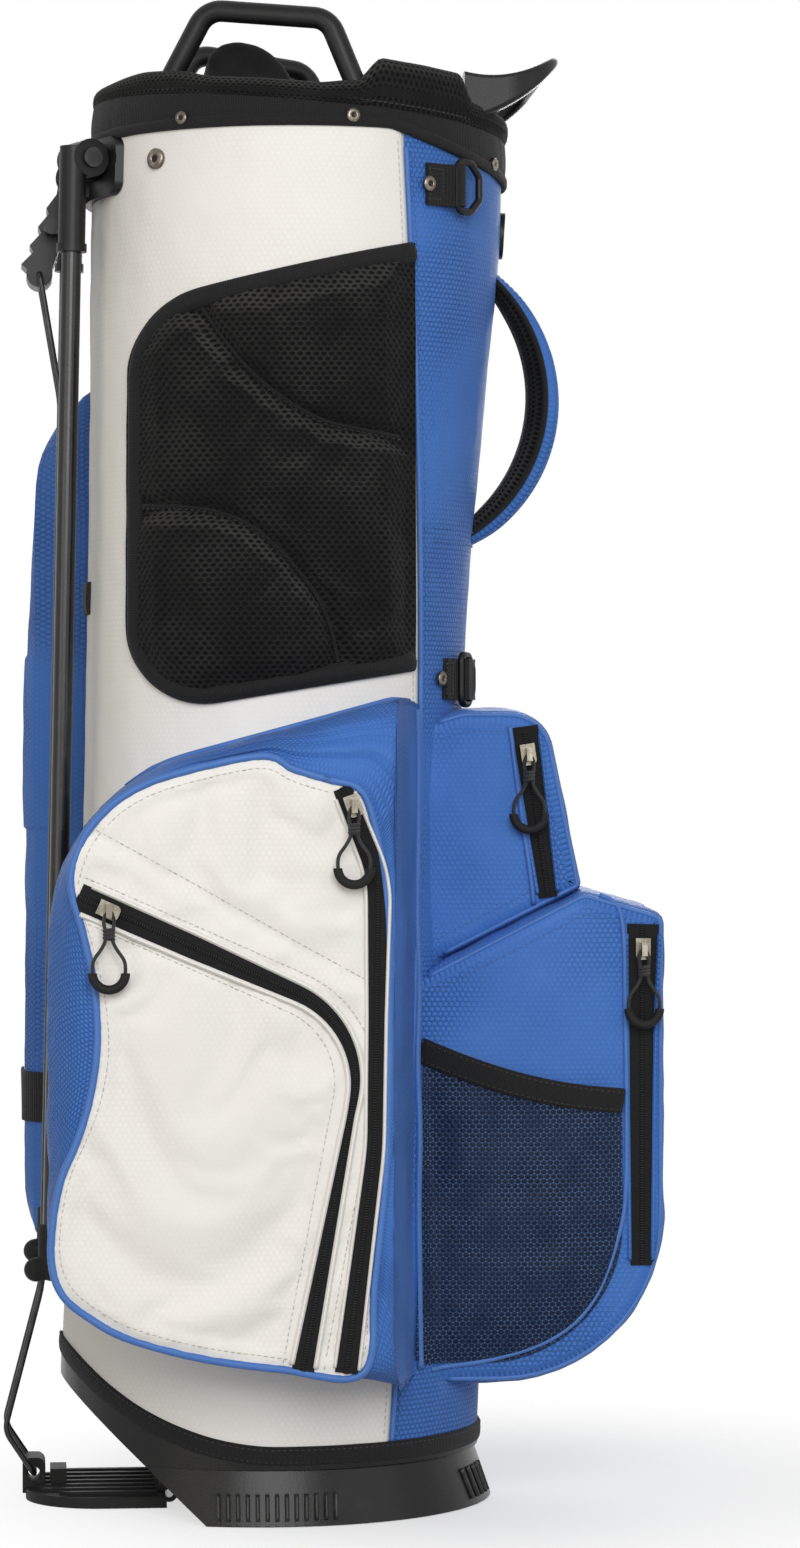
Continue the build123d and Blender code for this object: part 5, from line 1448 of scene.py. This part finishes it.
# skins as (place through the handle's thickness, swell)
grabLook = {"outer": (78, 676, 100.6), "inner": (62, 680, 99), "half": 17, "turn": (-64, 51), "least": 3.4,
            "outside": (0.0, 2.0), "inside": (1.0, -2.6), "stitches": 0.72, "stitchUp": 0.15, "pipe": 1.9,
            "flatEnds": 25}


def grabHandle():
    look, half = grabLook, grabLook["half"]
    turn = np.radians(np.linspace(*look["turn"], 70))
    aim = np.column_stack([np.cos(turn), np.sin(turn)])
    hub, outer = np.array(look["outer"][:2], float), look["outer"][2]
    shift = hub - look["inner"][:2]
    dot = aim @ shift
    near = -dot + np.sqrt(np.maximum(dot ** 2 - shift @ shift + look["inner"][2] ** 2, 0))
    thick = np.maximum(outer - near, look["least"])
    run = runOf(hub + aim * outer)
    puff = soft(0, look["flatEnds"], np.minimum(run, run[-1] - run)) * 0.5

    def skinLine(share, place, swell, lift=0.0):
        edge = 0.5 + (place - 0.5) * (1 - abs(share) ** 6)
        reach = outer - thick * edge + swell * (1 - share ** 2) * puff + lift
        return atDepth(hub + aim * reach[:, None], share * half)

    across = np.linspace(-1, 1, 17)
    faces = gridFaces(len(across), len(turn))
    flat = np.vstack([np.column_stack([run, np.full(len(run), share * half)]) for share in across])
    skins = ([skinLine(share, *look[skin]) for share in across] for skin in ("outside", "inside"))
    front, back = (np.vstack(rows) for rows in skins)
    outside = pieceOf((front, flipped(faces), flat), "grabOuter", "blue", "blue_cloth",
                      stands=("grab_handle",))
    inside = pieceOf((back, faces, flat), "grabInner", "rimMesh", "black_mesh")
    cord = Heap()
    for side in (-1, 1):
        line = atDepth(hub + aim * (outer - thick * 0.5)[:, None], side * (half - 0.2))
        cord.take(*sweepShape(line, facing(len(line), 0, side, 0), roundProfile(look["pipe"])))
    cord.piece("grabPiping", "binding", "black_cloth")
    thread = Heap()
    for share in (-look["stitches"], look["stitches"]):
        line = skinLine(share, *look["outside"], look["stitchUp"])
        thread.take(*stitchRow(line, atDepth(aim, 0), "pocket"))
    thread.piece("grabStitch", "blueThread", "blue_cloth")


grabHandle()

tabLook = {"width": 25, "thick": 1.5, "sewnFrom": -4, "stitchUp": 3.5,
           "fold": ((-23, 0.9), (-14, 0.9), (-7, 1.0), (-2.5, 1.5), (1.6, 2.4), (3.9, 5.6), (2.8, 8.8),
                    (0, 9.9), (-3.4, 8.9), (-7.5, 5.2), (-11, 3.3), (-16, 2.6), (-24, 2.4)),
           "box": ((-21, -9), (-21, 9), (-10.5, 9), (-10.5, -9), (-21, -9)),
           "places": {"top": (104.0, 799.0), "mid": (110.0, 503.0)}}


def strapTab(name, x, z):
    # webbing folded round the ring's bar and sewn flat to the tube
    look, piece = tabLook, "strapTab" + name.capitalize()
    place, out = tubePlace(x, z)
    ahead = unit(np.cross((0.0, 0.0, 1.0), out))
    fold = curveThrough(look["fold"], 1.2)
    line = place + fold[:, :1] * ahead + fold[:, 1:] * out
    for k in np.where(fold[:, 0] < look["sewnFrom"])[0]:
        foot, up = tubePlace(line[k, 0], z)
        line[k] = foot + up * fold[k, 1]
    ups = np.cross(unit(np.gradient(line, axis=0)), (0.0, 0.0, 1.0))
    half, thick = look["width"] / 2, look["thick"] / 2
    top = [(half * share, thick) for share in (1, 0.5, 0, -0.5, -1)]
    profile = [(half, -thick)] + top + [(-half, -thick)]
    pieceOf(sweepShape(line, ups, profile), piece, "webbing", "black_cloth", stands=("strap_tab_" + name,),
            crisp=40)
    thread = Heap()
    for ends in zip(look["box"][:-1], look["box"][1:]):
        strip = resample(ends, 1.2)
        level = place + strip[:, :1] * ahead
        foot, up = tubePlace(level[:, 0], z + strip[:, 1])
        thread.take(*stitchRow(foot + up * look["stitchUp"], up, "tab"))
    thread.piece(piece + "Stitch", "blackThread", "black_cloth")


for name, spot in tabLook["places"].items():
    strapTab(name, *spot)
print("handle and tabs sewn")

pullLook = {"radius": 1.1,
            "loop": ((-0.9, 0, -0.6), (-3.4, 0, -4.5), (-2.4, 0, -10.5), (-1.5, 0, -16.5), (-4.4, 0, -22.5),
                     (-9.2, 0, -28.5), (-9.6, 0, -35), (-8.6, 0, -41), (-4.8, 0, -45.2), (0, 0, -46.2),
                     (4.8, 0, -45.2), (8.6, 0, -41), (9.6, 0, -35), (9.2, 0, -28.5), (4.4, 0, -22.5),
                     (1.5, 0, -16.5), (2.4, 0, -10.5), (3.4, 0, -4.5), (0.9, 0, -0.6)),
            "knot": {"turns": 3.0, "wide": 2.6, "deep": 0.9, "low": -16.6, "high": -10.6, "thread": 1.15,
                     "steps": 60},
            "places": {"main": (-104, -193.8, 366.4), "side": (37.3, -193.8, 426.6),
                       "accessory": (152.9, -74.8, 456.8), "ball": (221.5, -86.8, 339)}}


def splineLength(spots):
    # the length of the order 3 spline that these control points make
    spots = np.array(spots, float)
    joins = np.vstack([spots[:1], (spots[1:-2] + spots[2:-1]) / 2, spots[-1:]])
    t = np.linspace(0, 1, 33)[:, None]
    total = 0.0
    for a, b, c in zip(joins[:-1], spots[1:-1], joins[1:]):
        line = a * (1 - t) ** 2 + 2 * b * t * (1 - t) + c * t ** 2
        total += float(runOf(line)[-1])
    return total


def zipPull(name, place):
    look, knot = pullLook, pullLook["knot"]
    origin = np.array(place, float)
    curve = bpy.data.curves.new("pullCord_" + name, "CURVE")
    curve.dimensions = "3D"
    curve.bevel_depth = look["radius"] * mm
    curve.bevel_resolution = 3
    curve.use_fill_caps = True
    line = curve.splines.new("NURBS")
    line.points.add(len(look["loop"]) - 1)
    for point, spot in zip(line.points, look["loop"]):
        point.co = (*((origin + spot) * mm), 1)
    line.order_u = 3
    line.use_endpoint_u = True
    line.resolution_u = 8
    cord = shown("pullCord_" + name, curve)
    curve.materials.append(finish["cordBlack"])
    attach(cord, "pull_" + name)
    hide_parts("pull_cord_" + name)
    turn = np.linspace(0, knot["turns"] * fullTurn, knot["steps"])
    coil = np.column_stack([knot["wide"] * np.cos(turn), knot["wide"] * knot["deep"] * np.sin(turn),
                            np.linspace(knot["low"], knot["high"], knot["steps"])]) + origin
    tie = pieceOf(sweepShape(coil, facing(len(coil), 0, 0, 1), roundProfile(knot["thread"], 8)),
                  "pullKnot_" + name, "cordBlack", "cord_black", body="pull_" + name)
    splineLength(look["loop"]) * mm
    2 * look["radius"] * mm


for name, spot in pullLook["places"].items():
    zipPull(name, spot)
print("zip pulls tied")

cameraLook = {"place": (-0.1595, -2.7466, 0.445), "turn": 5.0, "lens": 103.14, "sensor": 36}
camera = shown("camera", bpy.data.cameras.new("camera"))
camera.data.lens = cameraLook["lens"]
camera.data.sensor_width = cameraLook["sensor"]
camera.location = cameraLook["place"]
camera.rotation_euler = (math.radians(90), 0, -math.radians(cameraLook["turn"]))
scene.camera = camera

lampLook = {
    "key": {"place": (0.05, -2.6, 1.4), "aim": (0, 0, 0.42), "size": 1.5, "power": 48, "tint": (1, 1, 1)},
    "warm": {"place": (-1.7, -2.2, 0.55), "aim": (0, 0, 0.4), "size": 1.5, "power": 16,
             "tint": (1, 0.93, 0.82)},
    "fill": {"place": (2.0, -1.6, 1.1), "aim": (0, 0, 0.45), "size": 1.8, "power": 9, "tint": (1, 1, 1)},
    "back": {"place": (0.5, 2.6, 1.5), "aim": (0, 0, 0.45), "size": 1.8, "power": 46, "tint": (1, 1, 1)},
}
for name, look in lampLook.items():
    lamp = shown(name, bpy.data.lights.new(name, "AREA"))
    lamp.data.size = look["size"]
    lamp.data.energy = look["power"]
    lamp.data.color = look["tint"]
    lamp.location = look["place"]
    lamp.rotation_euler = (Vector(look["aim"]) - Vector(look["place"])).to_track_quat("-Z", "Y").to_euler()

worldLook = {"light": (1.0, 0.985, 0.96), "strength": 0.27, "rays": (0, 3, 6)}  # rays that see plain white
world = bpy.data.worlds.new("studio")
scene.world = world
world.use_nodes = True
world.node_tree.nodes.clear()
sky = Wire(world.node_tree)
first, second, third = (sky.add("LightPath", pick=ray) for ray in worldLook["rays"])
plain = sky.add("Background", {}, {"Color": worldLook["light"], "Strength": worldLook["strength"]})
white = sky.add("Background", {}, {"Color": (1.0, 1.0, 1.0), "Strength": 1.0})
seen = sky.add("MixShader", {}, {0: first + second + third, 1: plain, 2: white})
sky.add("OutputWorld", {}, {"Surface": seen})

floorLook = {"radius": 2.2, "shade": (0.97, 0.97, 0.97), "middle": (0.15, 0.02, 0), "clear": (0.1, 0.4),
             "least": 0.45, "sides": 64, "drop": -0.0006}


def floorFinish():
    material, wire = blankMaterial("paleFloor")
    far = wire.vector("DISTANCE", wire.add("TexCoord", pick=3), floorLook["middle"], pick=1)
    paint = wire.add("BsdfDiffuse", {}, {"Color": floorLook["shade"]})
    clear = wire.add("BsdfTransparent")
    fade = far.step(*floorLook["clear"]).between(floorLook["least"], 1)
    wire.add("OutputMaterial", {}, {"Surface": wire.add("MixShader", {}, {0: fade, 1: paint, 2: clear})})
    return material


ring = around(floorLook["sides"])
floorMesh = bpy.data.meshes.new("floor")
rim = np.column_stack([np.cos(ring), np.sin(ring), 0 * ring]) * floorLook["radius"]
floorMesh.from_pydata(rim.tolist(), [], [list(range(len(ring)))])
floor = shown("floor", floorMesh)
floorMesh.materials.append(floorFinish())
floor.location = (0, 0, floorLook["drop"])

scene.view_settings.view_transform = "Standard"
print("scene ready")
